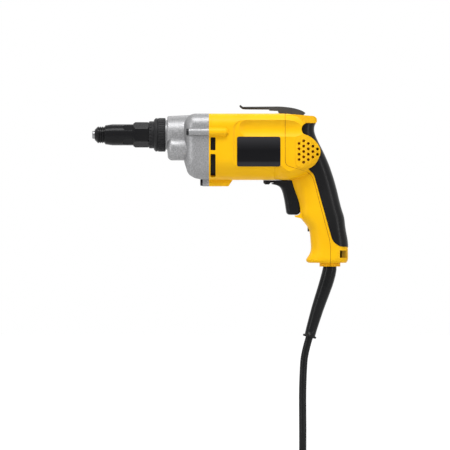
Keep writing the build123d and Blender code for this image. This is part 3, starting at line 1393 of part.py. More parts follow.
def trigger():
    """The two-finger trigger with a forward horn, cheeks beside the lever and a spring pocket."""
    horn = (TRIGGER_HORN, TRIGGER_TOP - TRIGGER_HORN_DEPTH)
    front = (
        Line((TRIGGER_HORN, TRIGGER_TOP), horn)
        + Spline(horn, *TRIGGER_FACE, tangents=((1.0, -0.25), (0.15, -1.0)))
        + ThreePointArc(TRIGGER_FACE[-1], TRIGGER_TOE, (TRIGGER_TOE_END, TRIGGER_BOTTOM))
    )
    heel = TRIGGER_HEEL_RADIUS
    outline = front + Polyline(
        (TRIGGER_TOE_END, TRIGGER_BOTTOM),
        (TRIGGER_REAR - heel, TRIGGER_BOTTOM),
    )
    outline += RadiusArc(
        (TRIGGER_REAR - heel, TRIGGER_BOTTOM), (TRIGGER_REAR, TRIGGER_BOTTOM + heel), -heel
    )
    outline += Polyline(
        (TRIGGER_REAR, TRIGGER_BOTTOM + heel),
        (TRIGGER_REAR, TRIGGER_TOP),
        (TRIGGER_HORN, TRIGGER_TOP),
    )
    body = slab(make_face(outline), -TRIGGER_HALF_WIDTH, TRIGGER_HALF_WIDTH)
    edges = body.edges().filter_by(lambda e: e.center().X < TRIGGER_TOE_END)
    edges = edges.filter_by(lambda e: e.center().Z < TRIGGER_TOP - TRIGGER_HORN_DEPTH / 2)
    rounded = edges.filter_by(lambda e: abs(abs(e.center().Y) - TRIGGER_HALF_WIDTH) < 0.01)
    body = fillet(rounded.filter_by(lambda e: e.length > 3), TRIGGER_EDGE_RADIUS)
    cheek = rounded_face(
        (
            (TRIGGER_CHEEK_FRONT - 3, TRIGGER_TOP - 1),
            (TRIGGER_CHEEK_FRONT, BODY_BOTTOM - LOOSE_FIT),
            (TRIGGER_REAR, BODY_BOTTOM - LOOSE_FIT),
            (TRIGGER_REAR, TRIGGER_TOP - 1),
        ),
        (0, 1, 1, 0),
    )
    inside = TRIGGER_HALF_WIDTH - TRIGGER_CHEEK
    body += [
        slab(cheek, -TRIGGER_HALF_WIDTH, -inside),
        slab(cheek, inside, TRIGGER_HALF_WIDTH),
    ]
    pocket_x = TRIGGER_REAR - SPRING_POCKET_DEPTH
    return body - rod(pocket_x, TRIGGER_REAR + 1, SPRING_POCKET_RADIUS, 0, PLUNGER_Z)


def switch_plunger():
    """The plunger that carries the trigger's travel into the switch."""
    return rod(
        TRIGGER_REAR - SPRING_POCKET_DEPTH, SWITCH_FRONT + PLUNGER_REACH, PLUNGER_RADIUS, 0, PLUNGER_Z
    )


def trigger_spring():
    """The spring that brings the trigger back."""
    start = TRIGGER_REAR - SPRING_POCKET_DEPTH
    length = SWITCH_FRONT - start - 2 * SEAT_GAP
    coil = spring(length, TRIGGER_SPRING_RADIUS, TRIGGER_SPRING_WIRE, TRIGGER_SPRING_TURNS)
    return Pos(start + SEAT_GAP, 0, PLUNGER_Z) * Rot(0, 90, 0) * coil


def lever_pivot_x():
    """Where the reversing lever turns, along X."""
    return SWITCH_FRONT + LEVER_PIVOT_SETBACK


def switch_body():
    """The variable speed switch with the lever's pivot on top."""
    box = block(
        SWITCH_FRONT,
        SWITCH_FRONT + SWITCH_LENGTH,
        -SWITCH_HALF_WIDTH,
        SWITCH_HALF_WIDTH,
        SWITCH_BOTTOM,
        SWITCH_TOP,
    )
    box = chamfer(box.edges().filter_by(Axis.Z), SWITCH_EDGE)
    hole = PLUNGER_REACH + TRIGGER_TRAVEL + 1
    box -= rod(SWITCH_FRONT - 1, SWITCH_FRONT + hole, PLUNGER_RADIUS + LOOSE_FIT, 0, PLUNGER_Z)
    pin_top = LEVER_TOP - 0.4
    return box + bar_z(SWITCH_TOP - 1, pin_top, LEVER_PIVOT_RADIUS, lever_pivot_x())


def reversing_lever():
    """The lever above the trigger: hub on the switch, stem and a paddle for the finger."""
    pivot = lever_pivot_x()
    low = LEVER_TOP - LEVER_THICKNESS
    paddle_end = LEVER_FRONT + LEVER_PADDLE_LENGTH
    half = LEVER_PADDLE_HALF_WIDTH
    paddle = rounded_face(
        ((LEVER_FRONT, -half), (paddle_end, -half), (paddle_end, half), (LEVER_FRONT, half)),
        (4, 2, 2, 4),
    )
    arm = Rectangle(pivot - LEVER_FRONT - 3, 2 * LEVER_STEM_HALF_WIDTH)
    arm = Pos((pivot + LEVER_FRONT + 3) / 2, 0) * arm
    plan = paddle + arm + Pos(pivot, 0) * Circle(LEVER_HUB_RADIUS)
    lever = Pos(0, 0, low) * extrude(plan, amount=LEVER_THICKNESS)
    drop = Pos(0, 0, low - LEVER_PADDLE_DROP) * extrude(paddle, amount=LEVER_PADDLE_DROP)
    wedge = rounded_face(
        (
            (LEVER_FRONT - 1, low - LEVER_PADDLE_DROP - 1),
            (LEVER_FRONT - 1, low + 0.5),
            (LEVER_FRONT + 3.5, low - LEVER_PADDLE_DROP - 1),
        ),
        (0, 0, 0),
    )
    heel = rounded_face(
        (
            (paddle_end + 1, low - LEVER_PADDLE_DROP - 1),
            (paddle_end + 1, low + 0.5),
            (paddle_end - 2.5, low - LEVER_PADDLE_DROP - 1),
        ),
        (0, 0, 0),
    )
    lever += drop - slab(wedge, -20, 20) - slab(heel, -20, 20)
    return lever - bar_z(low - 5, LEVER_TOP + 5, LEVER_PIVOT_RADIUS + RUNNING_FIT, pivot)


def belt_clip():
    """The sprung belt clip: a foot, a long straight arm and an upturned tip."""
    foot = CLIP_FOOT_FRONT
    bump = CLIP_ARM_TOP - CLIP_BUMP_DEPTH
    arm = CLIP_ARM_TOP - CLIP_ARM_THICKNESS
    tip = CLIP_ARM_TOP + CLIP_TIP_RISE
    below = Polyline(
        (CLIP_FOOT_REAR - CLIP_HEEL, CLIP_SEAT),
        (foot, CLIP_SEAT),
        (foot - CLIP_LEAN, bump),
        (foot - CLIP_BUMP_LENGTH, bump + 0.4),
        (foot - CLIP_BUMP_LENGTH - CLIP_TIP_THICKNESS, arm - CLIP_TIP_THICKNESS),
        (CLIP_TIP + CLIP_TIP_LENGTH, arm),
        (CLIP_TIP, tip - CLIP_TIP_THICKNESS),
        (CLIP_TIP + CLIP_TIP_THICKNESS, tip),
        (CLIP_TIP + CLIP_TIP_LENGTH, CLIP_ARM_TOP - 0.3),
        (foot - CLIP_BUMP_LENGTH, CLIP_ARM_TOP),
    )
    above = Spline(
        (foot - CLIP_BUMP_LENGTH, CLIP_ARM_TOP),
        *[(foot + back, CLIP_ARM_TOP - drop) for back, drop in CLIP_BACK],
        (CLIP_FOOT_REAR, CLIP_SEAT + CLIP_HEEL),
        tangents=((1.0, 0.0), (0.7, -0.7)),
    )
    heel = Line((CLIP_FOOT_REAR, CLIP_SEAT + CLIP_HEEL), (CLIP_FOOT_REAR - CLIP_HEEL, CLIP_SEAT))
    outline = below + above + heel
    clip = slab(make_face(outline), -CLIP_HALF_WIDTH, CLIP_HALF_WIDTH)
    clip -= bar_z(CLIP_SEAT - 1, CLIP_ARM_TOP + 2, SCREW_RADIUS + RUNNING_FIT, CLIP_SCREW_X)
    head_seat = CLIP_SEAT + CLIP_SCREW_SEAT
    return clip - bar_z(head_seat, CLIP_ARM_TOP + 2, SCREW_HEAD_RADIUS + LOOSE_FIT, CLIP_SCREW_X)


def clip_screw():
    """The belt clip's screw."""
    head_seat = CLIP_SEAT + CLIP_SCREW_SEAT
    screw = bar_z(head_seat, head_seat + SCREW_HEAD_HEIGHT, SCREW_HEAD_RADIUS, CLIP_SCREW_X)
    screw = fillet(screw.faces().sort_by(Axis.Z)[-1].edges(), 1.0)
    screw += bar_z(CLIP_SEAT - CLIP_SCREW_LENGTH + 1, head_seat, SCREW_RADIUS, CLIP_SCREW_X)
    socket = Pos(CLIP_SCREW_X, 0, head_seat + SCREW_HEAD_HEIGHT) * extrude(
        hexagon(2 * SCREW_RECESS_RADIUS), amount=-SCREW_RECESS_DEPTH
    )
    return screw - socket


def cover_screw():
    """The screw in the handle's front that holds the rear cover."""
    head_x = COVER_SCREW_HEAD_X
    screw = rod(head_x - SCREW_HEAD_HEIGHT + 1, head_x, SCREW_HEAD_RADIUS, 0, COVER_SCREW_Z)
    screw += rod(head_x, head_x + COVER_SCREW_LENGTH - 1, SCREW_RADIUS, 0, COVER_SCREW_Z)
    socket = Pos(head_x - SCREW_HEAD_HEIGHT + 1, 0, COVER_SCREW_Z) * extrude(
        Plane.YZ * hexagon(2 * SCREW_RECESS_RADIUS), amount=1.2
    )
    return screw - socket


def boot_path():
    """Places and directions of the cord boot's sections, from the base to its end."""
    places = []
    for index, (x, z) in enumerate(BOOT_CENTRES):
        before = BOOT_CENTRES[max(index - 1, 0)]
        after = BOOT_CENTRES[min(index + 1, len(BOOT_CENTRES) - 1)]
        direction = Vector(after[0] - before[0], 0, after[1] - before[1]).normalized()
        if index == 0:
            direction = Vector(0, 0, -1)
        places.append((Vector(x, 0, z), direction))
    return places


def boot_end():
    """The middle and the direction of the boot's end face."""
    place, direction = boot_path()[-1]
    return place + direction * BOOT_RING_THICKNESS, direction


def cord_boot():
    """The rubber strain relief: flange in the base, bent taper and an end ring."""
    places = boot_path()
    sections = []
    for place, direction in places:
        share = (places[0][0] - place).length / (places[0][0] - places[-1][0]).length
        radius = BOOT_NECK_RADIUS + (BOOT_END_RADIUS - BOOT_NECK_RADIUS) * share
        sections.append(Plane(place, z_dir=direction) * Circle(radius))
    boot = loft(sections)
    top = places[0][0].Z
    inside = BASE_Z + WALL + SEAT_GAP
    boot += bar_z(top, inside, BOOT_NECK_RADIUS, BOOT_X)
    boot += bar_z(inside, inside + BOOT_FLANGE_THICKNESS, BOOT_FLANGE_RADIUS, BOOT_X)
    end, direction = places[-1]
    ring = Plane(end, z_dir=direction) * Circle(BOOT_RING_RADIUS)
    return boot + extrude(ring, amount=BOOT_RING_THICKNESS)


def cord_end():
    """The end of the cord inside the handle, from the boot to the clamp."""
    return bar_z(BASE_Z + WALL + SEAT_GAP + BOOT_FLANGE_THICKNESS, CORD_END_Z, CORD_RADIUS, BOOT_X)


def cord_clamp():
    """The bar that holds the cord in the handle."""
    x0 = BOOT_X - CORD_RADIUS - CLAMP_THICKNESS
    bar = block(
        x0, BOOT_X - 2, -CLAMP_HALF_LENGTH, CLAMP_HALF_LENGTH, CLAMP_Z, CLAMP_Z + CLAMP_HEIGHT
    )
    bar -= bar_z(CLAMP_Z - 1, CLAMP_Z + CLAMP_HEIGHT + 1, CORD_RADIUS + RUNNING_FIT, BOOT_X)
    for side in (-1, 1):
        y = side * CLAMP_SCREW_SPAN
        bar -= rod(x0 - 1, BOOT_X, CLAMP_SCREW_RADIUS + RUNNING_FIT, y, CLAMP_Z + CLAMP_HEIGHT / 2)
    return bar


def clamp_screws():
    """Two screws through the clamp bar."""
    x0 = BOOT_X - CORD_RADIUS - CLAMP_THICKNESS
    z = CLAMP_Z + CLAMP_HEIGHT / 2
    screws = Part()
    for side in (-1, 1):
        y = side * CLAMP_SCREW_SPAN
        screw = rod(x0, BOOT_X + 3, CLAMP_SCREW_RADIUS, y, z)
        screws += screw + rod(x0 - 2, x0, 2 * CLAMP_SCREW_RADIUS, y, z)
    return screws


def route_radii(points):
    """The largest radii that the runs on both sides of each corner leave room for."""
    radii = []
    for before, here, after in zip(points, points[1:], points[2:]):
        run_in = Vector(here) - Vector(before)
        run_out = Vector(after) - Vector(here)
        half_turn = math.radians(run_in.get_angle(run_out)) / 2
        radii.append(0.45 * min(run_in.length, run_out.length) / math.tan(half_turn))
    return radii


def free_cord():
    """The cord from the boot down to the coil."""
    start, _ = boot_end()
    points = [tuple(start)]
    points += CORD_POINTS
    points.append(COIL_START + (UPPER_LAYER_Z,))
    radii = route_radii(points)
    print("cord radii", [round(radius) for radius in radii])
    path = FilletPolyline(*points, radius=radii)
    section = Plane(path @ 0, z_dir=path % 0) * Circle(CORD_RADIUS)
    cord = sweep(section, path=path)
    print("free cord length", round(path.length), "mm")
    print("volume over section times length", cord.volume / (math.pi * CORD_RADIUS**2 * path.length))
    return cord


def half_turn(start, radius, heading, drop=0.0):
    """A half turn to the left from a point on the coil's cross line, and where it ends."""
    across = Vector(-2 * radius * heading, 0, -drop)
    middle = start + across * 0.5 + Vector(0, across.length / 2 * heading, 0)
    end = start + across
    return ThreePointArc(start, middle, end), end


def coil_path():
    """The coil's line: a spiral in, a half turn down a layer, a spiral out and the tail."""
    point = Vector(COIL_START[0], COIL_START[1], UPPER_LAYER_Z)
    step = COIL_PITCH / 2
    radii = [COIL_OUTER_RADIUS - step * turn for turn in range(COIL_HALF_TURNS)]
    inner = COIL_OUTER_RADIUS - step * COIL_HALF_TURNS
    edges = []
    heading = 1
    for radius in radii:
        edge, point = half_turn(point, radius, heading)
        edges.append(edge)
        heading = -heading
    edge, point = half_turn(point, inner, heading, UPPER_LAYER_Z - LOWER_LAYER_Z)
    edges.append(edge)
    heading = -heading
    for radius in reversed(radii):
        edge, point = half_turn(point, radius, heading)
        edges.append(edge)
        heading = -heading
    last = COIL_OUTER_RADIUS + step
    centre = point + Vector(last, 0, 0)
    leave = centre + Vector(0, -last, 0)
    diagonal = math.sqrt(0.5) * last
    edges.append(ThreePointArc(point, centre + Vector(-diagonal, -diagonal, 0), leave))
    rise = PLUG_AXIS_Z - LOWER_LAYER_Z
    turn = math.acos(1 - rise / 2 / TAIL_RISE_RADIUS)
    run = TAIL_RISE_RADIUS * math.sin(turn)
    half = turn / 2
    low = leave + TAIL_RISE_RADIUS * Vector(math.sin(half), 0, 1 - math.cos(half))
    half_way = leave + Vector(run, 0, rise / 2)
    top = leave + Vector(2 * run, 0, rise)
    edges.append(ThreePointArc(leave, low, half_way))
    edges.append(ThreePointArc(half_way, top - (low - leave), top))
    edges.append(Line(top, top + Vector(2 * CORD_RADIUS, 0, 0)))
    return Curve() + edges, top + Vector(2 * CORD_RADIUS, 0, 0)


def least_gap(path):
    """The least gap between stretches of the coil that lie a quarter turn or more apart."""
    spacing = 4.0
    count = int(path.length / spacing)
    points = [path @ (index / count) for index in range(count + 1)]
    apart = int(COIL_OUTER_RADIUS * math.pi / 2 / spacing)
    gaps = []
    for index, point in enumerate(points):
        gaps += [(point - other).length for other in points[index + apart :]]
    return min(gaps) - 2 * CORD_RADIUS


def cord_coil():
    """The put-away length of cord as a tied coil of two layers."""
    curve, _ = coil_path()
    path = Wire(curve.edges())
    print("coil length", round(path.length), "mm, least gap", round(least_gap(path), 2), "mm")
    section = Plane(path @ 0, z_dir=path % 0) * Circle(CORD_RADIUS)
    coil = sweep(section, path=path)
    print("volume over section times length", coil.volume / (math.pi * CORD_RADIUS**2 * path.length))
    return coil


def cord_tie():
    """The band round the coil's far side."""
    step = COIL_PITCH / 2
    inner = COIL_OUTER_RADIUS - step * COIL_HALF_TURNS
    x = COIL_START[0] - COIL_OUTER_RADIUS
    y0 = COIL_START[1] + inner - CORD_RADIUS - LOOSE_FIT
    y1 = COIL_START[1] + COIL_OUTER_RADIUS + CORD_RADIUS + LOOSE_FIT
    z0 = FLOOR_Z + TIE_THICKNESS - RUNNING_FIT
    z1 = UPPER_LAYER_Z + CORD_RADIUS + LOOSE_FIT
    middle = Pos((y0 + y1) / 2, (z0 + z1) / 2)
    inside = middle * RectangleRounded(y1 - y0, z1 - z0, CORD_RADIUS)
    thick = 2 * TIE_THICKNESS - 2 * RUNNING_FIT
    outside = middle * RectangleRounded(y1 - y0 + thick, z1 - z0 + thick, CORD_RADIUS + TIE_THICKNESS)
    band = extrude(Plane.YZ * (outside - inside), amount=TIE_WIDTH)
    return Pos(x - TIE_WIDTH / 2, 0, 0) * band


def plug_body():
    """The moulded two-pin plug, with its neck over the cord."""
    _, end = coil_path()
    neck_end = end + Vector(PLUG_NECK_LENGTH, 0, 0)
    neck = loft(
        [
            Plane(end, z_dir=(1, 0, 0)) * Circle(CORD_RADIUS + 0.8),
            Plane(neck_end, z_dir=(1, 0, 0)) * Circle(PLUG_NECK_RADIUS),
        ]
    )
    sections = []
    for share, size in ((0.0, 0.62), (0.45, 0.92), (1.0, 1.0)):
        place = neck_end + Vector(PLUG_LENGTH * share, 0, 0)
        half_width = PLUG_HALF_WIDTH * size
        half_height = PLUG_HALF_HEIGHT * size
        face = RectangleRounded(2 * half_width, 2 * half_height, half_height * 0.6)
        sections.append(Plane(place, x_dir=(0, 1, 0), z_dir=(1, 0, 0)) * face)
    return neck + loft(sections)


def plug_blades():
    """The plug's two flat blades."""
    _, end = coil_path()
    face_x = end.X + PLUG_NECK_LENGTH + PLUG_LENGTH
    blades = Part()
    for side in (-1, 1):
        y = end.Y + side * BLADE_SPACING / 2
        half_t = BLADE_THICKNESS / 2
        half_w = BLADE_WIDTH / 2
        blade = block(
            face_x, face_x + BLADE_LENGTH, y - half_t, y + half_t, end.Z - half_w, end.Z + half_w
        )
        tip = blade.faces().sort_by(Axis.X)[-1].edges().filter_by(Axis.Y)
        blades += chamfer(tip, 1.6)
    return blades


def write(name, shape):
    """Move a piece to the grip's frame and write it."""
    x, y, z = GRIP_CENTRE
    export_step(Pos(-x, -y, -z) * shape, f"parts/{name}.step")


os.makedirs("parts", exist_ok=True)
SHELL = shell_form()
GRIP = rubber_grip()
PIECES = {
    "motor_housing": motor_housing(SHELL),
    "rear_cover": rear_cover(SHELL, GRIP),
    "rubber_grip": GRIP,
    "name_plate": name_plate(),
    "gear_case": gear_case(),
    "case_screws": case_screws(),
    "bearing_plate": bearing_plate(),
    "spindle_bush": spindle_bush(),
    "thrust_washer": thrust_washer(),
    "spindle": spindle(),
    "bit_holder": bit_holder(),
    "bit_magnet": bit_magnet(),
    "nose_tip": nose_tip(),
    "nose_sleeve": nose_sleeve(),
    "hex_collar": hex_collar(),
    "nose_ring": nose_ring(),
    "detent_ring": detent_ring(),
    "adjusting_collar": adjusting_collar(),
    "clutch_gear": clutch_gear(),
    "clutch_spring": clutch_spring(),
    "lay_shaft": lay_shaft(),
    "lay_gear": lay_gear(),
    "lay_bushes": lay_bushes(),
    "armature_shaft": armature_shaft(),
    "armature_core": armature_core(),
    "armature_windings": armature_windings(),
    "commutator": commutator(),
    "fan": fan(),
    "front_bearing": bearing(-BEARING_WIDTH, FRONT_BEARING_RADIUS, SHAFT_RADIUS + RUNNING_FIT),
    "rear_bearing": bearing(CARRIER_X + 1, REAR_BEARING_RADIUS, SHAFT_RADIUS + RUNNING_FIT),
    "fan_baffle": fan_baffle(),
    "field_stack": field_stack(),
    "field_coils": field_coils(),
    "brush_carrier": brush_carrier(),
    "brush_holders": brush_holders(),
    "carbon_brushes": carbon_brushes(),
    "brush_springs": brush_springs(),
    "trigger": trigger(),
    "switch_plunger": switch_plunger(),
    "trigger_spring": trigger_spring(),
    "switch_body": switch_body(),
    "reversing_lever": reversing_lever(),
    "belt_clip": belt_clip(),
    "clip_screw": clip_screw(),
    "cover_screw": cover_screw(),
    "cord_boot": cord_boot(),
    "cord_end": cord_end(),
    "cord_clamp": cord_clamp(),
    "clamp_screws": clamp_screws(),
    "cord": free_cord(),
    "cord_coil": cord_coil(),
    "cord_tie": cord_tie(),
    "plug_body": plug_body(),
    "plug_blades": plug_blades(),
}
for piece_name, piece in PIECES.items():
    write(piece_name, piece)
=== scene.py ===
import math

import bmesh
import bpy
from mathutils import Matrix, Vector
from mathutils.bvhtree import BVHTree


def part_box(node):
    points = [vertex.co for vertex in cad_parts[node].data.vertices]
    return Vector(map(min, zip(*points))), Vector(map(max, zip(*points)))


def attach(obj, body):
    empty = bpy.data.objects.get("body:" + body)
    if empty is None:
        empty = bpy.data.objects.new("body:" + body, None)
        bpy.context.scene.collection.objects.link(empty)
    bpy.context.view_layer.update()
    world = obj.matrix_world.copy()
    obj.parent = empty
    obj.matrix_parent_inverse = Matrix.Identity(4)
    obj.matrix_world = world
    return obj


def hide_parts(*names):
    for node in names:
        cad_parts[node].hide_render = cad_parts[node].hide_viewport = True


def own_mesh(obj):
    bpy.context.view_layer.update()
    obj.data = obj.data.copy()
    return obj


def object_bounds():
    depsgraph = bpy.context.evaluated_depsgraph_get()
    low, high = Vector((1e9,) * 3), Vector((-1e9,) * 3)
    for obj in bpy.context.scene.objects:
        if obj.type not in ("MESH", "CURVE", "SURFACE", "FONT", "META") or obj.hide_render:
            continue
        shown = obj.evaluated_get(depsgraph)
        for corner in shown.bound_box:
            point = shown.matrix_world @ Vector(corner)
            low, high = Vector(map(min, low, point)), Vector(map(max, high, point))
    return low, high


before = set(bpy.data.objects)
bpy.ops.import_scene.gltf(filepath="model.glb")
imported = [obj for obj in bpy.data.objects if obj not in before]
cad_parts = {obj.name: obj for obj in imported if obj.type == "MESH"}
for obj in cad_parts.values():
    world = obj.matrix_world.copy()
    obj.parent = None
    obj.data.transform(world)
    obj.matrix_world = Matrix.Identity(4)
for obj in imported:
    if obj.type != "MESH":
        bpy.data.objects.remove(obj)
cad_low, cad_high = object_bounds()

# Studio: a plain pale floor under the coil, a white room, a long soft lamp overhead and three
# weaker ones at the sides and behind. The camera looks square on at the tool's left side.
VIEW_MIDDLE = Vector((-0.1188, 0.0, -0.0242))
VIEW_WIDTH = 0.540
CAMERA_DISTANCE = 5.0
SENSOR_WIDTH = 36.0
WHITE = (1.0, 1.0, 1.0, 1.0)
SKY_HEIGHTS = (-0.6, 0.6)
SKY_LIGHT = (0.24, 0.46)
FLOOR_SIZE = 14.0
FLOOR_COLOUR = (0.86, 0.86, 0.86, 1.0)
FLOOR_ROUGHNESS = 0.9
FLOOR_SPECULAR = 0.1
FLOOR_GLOW_REACH = (0.4, 2.4)
FLOOR_GLOW = (0.47, 0.76)
LAMP_PLACES = {
    "overhead_lamp": (-0.15, -0.60, 1.16),
    "left_lamp": (-1.30, -0.95, 0.25),
    "right_lamp": (1.10, -0.95, 0.25),
    "back_lamp": (0.20, 0.80, 1.15),
}
LAMP_SIZES = {
    "overhead_lamp": (1.3, 0.5),
    "left_lamp": (0.16, 1.0),
    "right_lamp": (0.22, 1.0),
    "back_lamp": (1.2, 0.3),
}
LAMP_WATTS = {"overhead_lamp": 17.2, "left_lamp": 5.0, "right_lamp": 4.5, "back_lamp": 3.0}

camera_data = bpy.data.cameras.new("side_camera")
camera_data.sensor_width = SENSOR_WIDTH
camera_data.lens = SENSOR_WIDTH * CAMERA_DISTANCE / VIEW_WIDTH
camera = bpy.data.objects.new("side_camera", camera_data)
camera.location = VIEW_MIDDLE + Vector((0.0, -CAMERA_DISTANCE, 0.0))
camera.rotation_euler = (math.radians(90), 0.0, 0.0)
bpy.context.collection.objects.link(camera)
bpy.context.scene.camera = camera
bpy.context.scene.view_settings.view_transform = "Standard"


def combine(tree, operation, first, second):
    """One value made from two by a math node."""
    node = tree.nodes.new("ShaderNodeMath")
    node.operation = operation
    tree.links.new(first, node.inputs[0])
    tree.links.new(second, node.inputs[1])
    return node.outputs["Value"]


def stretch(tree, value, before, after=(0.0, 1.0)):
    """A value spread from one range over another."""
    node = tree.nodes.new("ShaderNodeMapRange")
    for name, number in zip(("From Min", "From Max", "To Min", "To Max"), before + after):
        node.inputs[name].default_value = number
    tree.links.new(value, node.inputs["Value"])
    return node.outputs["Result"]


def split_place(tree, kind):
    """The X, Y and Z sockets of one kind of coordinates."""
    place = tree.nodes.new("ShaderNodeTexCoord")
    split = tree.nodes.new("ShaderNodeSeparateXYZ")
    tree.links.new(place.outputs[kind], split.inputs["Vector"])
    return split.outputs


def seen_directly(tree):
    """A value that is 1 for camera, mirror and glass rays, and 0 for light on the object."""
    rays = tree.nodes.new("ShaderNodeLightPath").outputs
    seen = combine(tree, "MAXIMUM", rays["Is Camera Ray"], rays["Is Glossy Ray"])
    return combine(tree, "MAXIMUM", seen, rays["Is Transmission Ray"])


world = bpy.data.worlds.new("white_room")
bpy.context.scene.world = world
world.use_nodes = True
sky = world.node_tree
sky.nodes.clear()
sky_out = sky.nodes.new("ShaderNodeOutputWorld")
sky_mix = sky.nodes.new("ShaderNodeMixShader")
sky_light = sky.nodes.new("ShaderNodeBackground")
sky_seen = sky.nodes.new("ShaderNodeBackground")
sky_seen.inputs["Color"].default_value = WHITE
sky_level = stretch(sky, split_place(sky, "Generated")["Z"], SKY_HEIGHTS, SKY_LIGHT)
sky.links.new(sky_level, sky_light.inputs["Strength"])
sky.links.new(seen_directly(sky), sky_mix.inputs["Fac"])
sky.links.new(sky_light.outputs["Background"], sky_mix.inputs[1])
sky.links.new(sky_seen.outputs["Background"], sky_mix.inputs[2])
sky.links.new(sky_mix.outputs["Shader"], sky_out.inputs["Surface"])

floor_mesh = bpy.data.meshes.new("studio_floor")
floor_corners = [(-0.5, -0.5), (0.5, -0.5), (0.5, 0.5), (-0.5, 0.5)]
floor_mesh.from_pydata(
    [(x * FLOOR_SIZE, y * FLOOR_SIZE, cad_low[2]) for x, y in floor_corners], [], [(0, 1, 2, 3)]
)
studio_floor = bpy.data.objects.new("studio_floor", floor_mesh)
bpy.context.collection.objects.link(studio_floor)
pale_floor = bpy.data.materials.new("pale_floor")
pale_floor.use_nodes = True
paint = pale_floor.node_tree
floor_shader = paint.nodes["Principled BSDF"]
floor_shader.inputs["Base Color"].default_value = FLOOR_COLOUR
floor_shader.inputs["Roughness"].default_value = FLOOR_ROUGHNESS
floor_shader.inputs["Specular IOR Level"].default_value = FLOOR_SPECULAR
floor_shader.inputs["Emission Color"].default_value = WHITE
floor_away = paint.nodes.new("ShaderNodeVectorMath")
floor_away.operation = "LENGTH"
floor_place = paint.nodes.new("ShaderNodeTexCoord")
paint.links.new(floor_place.outputs["Object"], floor_away.inputs[0])
floor_glow = stretch(paint, floor_away.outputs["Value"], FLOOR_GLOW_REACH, FLOOR_GLOW)
floor_glow = combine(paint, "MULTIPLY", seen_directly(paint), floor_glow)
paint.links.new(floor_glow, floor_shader.inputs["Emission Strength"])
floor_mesh.materials.append(pale_floor)

for lamp_name, lamp_place in LAMP_PLACES.items():
    lamp_data = bpy.data.lights.new(lamp_name, "AREA")
    lamp_data.shape = "RECTANGLE"
    lamp_data.size, lamp_data.size_y = LAMP_SIZES[lamp_name]
    lamp_data.energy = LAMP_WATTS[lamp_name]
    lamp = bpy.data.objects.new(lamp_name, lamp_data)
    lamp.location = lamp_place
    lamp.rotation_euler = (VIEW_MIDDLE - lamp.location).to_track_quat("-Z", "Y").to_euler()
    bpy.context.collection.objects.link(lamp)


# Motor housing and rear cover: two mouldings in yellow glass-filled nylon, screwed together along
# the seam that runs down the handle. Their skin has a fine sparked grain. The pry slots in the base
# get painted shade, black in the slot and brown on the ramp beside it.
YELLOW_LIGHT = (0.87, 0.485, 0.004, 1.0)
YELLOW_DEEP = (0.84, 0.435, 0.003, 1.0)
# Painted shade for the pry slots: a near-black colour, and how strongly it darkens the yellow
# across the slot and its ramp.
YELLOW_PAINTED_SHADE = (0.010, 0.006, 0.003, 1.0)
PRY_MIDDLE = (0.0231, -0.05905)
PRY_HALF = (0.0045, 0.00435)
PRY_PAINTED_SHADE = ((0.0, 0.97), (0.24, 0.95), (0.30, 0.72), (0.62, 0.68), (0.80, 0.52), (1.0, 0.15))
EDGE_RADIUS = 0.0005
EDGE_SAMPLES = 6
NOISE_MIDDLE = (0.3, 0.7)
FLOAT = "NodeSocketFloat"
COLOUR = "NodeSocketColor"
SKIN_INPUTS = (
    ("Grain", FLOAT, 1000.0),
    ("Light", COLOUR, WHITE),
    ("Deep", COLOUR, WHITE),
    ("Smooth", FLOAT, 0.3),
    ("Rough", FLOAT, 0.5),
)
SKIN_OUTPUTS = (("Colour", COLOUR), ("Roughness", FLOAT), ("Height", FLOAT))


def effect(name):
    """An empty node group with the sockets of a skin, and its two end nodes."""
    group = bpy.data.node_groups.new(name, "ShaderNodeTree")
    for label, kind, value in SKIN_INPUTS:
        socket = group.interface.new_socket(label, in_out="INPUT", socket_type=kind)
        socket.default_value = value
    for label, kind in SKIN_OUTPUTS:
        group.interface.new_socket(label, in_out="OUTPUT", socket_type=kind)
    return group, group.nodes.new("NodeGroupInput"), group.nodes.new("NodeGroupOutput")


def noise_at(group, scale, detail, place=None):
    """A noise texture on the piece's own coordinates. Its scale may be a socket."""
    if place is None:
        place = group.nodes.new("ShaderNodeTexCoord").outputs["Object"]
    noise = group.nodes.new("ShaderNodeTexNoise")
    noise.inputs["Detail"].default_value = detail
    if isinstance(scale, float):
        noise.inputs["Scale"].default_value = scale
    else:
        group.links.new(scale, noise.inputs["Scale"])
    group.links.new(place, noise.inputs["Vector"])
    return noise.outputs["Fac"]


def spread(group, value, low=None, high=None):
    """The middle of a noise stretched over 0 to 1, or between two sockets."""
    result = stretch(group, value, NOISE_MIDDLE)
    if low is not None:
        group.links.new(low, result.node.inputs["To Min"])
        group.links.new(high, result.node.inputs["To Max"])
    return result


def grey_ramp(tree, value, stops):
    """A grey level read off a row of stops, each with its place and its level."""
    ramp = tree.nodes.new("ShaderNodeValToRGB")
    elements = ramp.color_ramp.elements
    elements.remove(elements[1])
    for index, (place, level) in enumerate(stops):
        element = elements.new(place) if index else elements[0]
        element.position = place
        element.color = (level, level, level, 1.0)
    tree.links.new(value, ramp.inputs["Fac"])
    return ramp.outputs["Color"]


def fill_skin(group, ends, share, polish, height):
    """Join a skin's colour share, polish pattern and relief to its outputs."""
    inside, outside = ends
    mix = group.nodes.new("ShaderNodeMix")
    mix.data_type = "RGBA"
    group.links.new(share, mix.inputs["Factor"])
    group.links.new(inside.outputs["Deep"], mix.inputs["A"])
    group.links.new(inside.outputs["Light"], mix.inputs["B"])
    group.links.new(mix.outputs["Result"], outside.inputs["Colour"])
    roughness = spread(group, polish, inside.outputs["Smooth"], inside.outputs["Rough"])
    group.links.new(roughness, outside.inputs["Roughness"])
    group.links.new(height, outside.inputs["Height"])


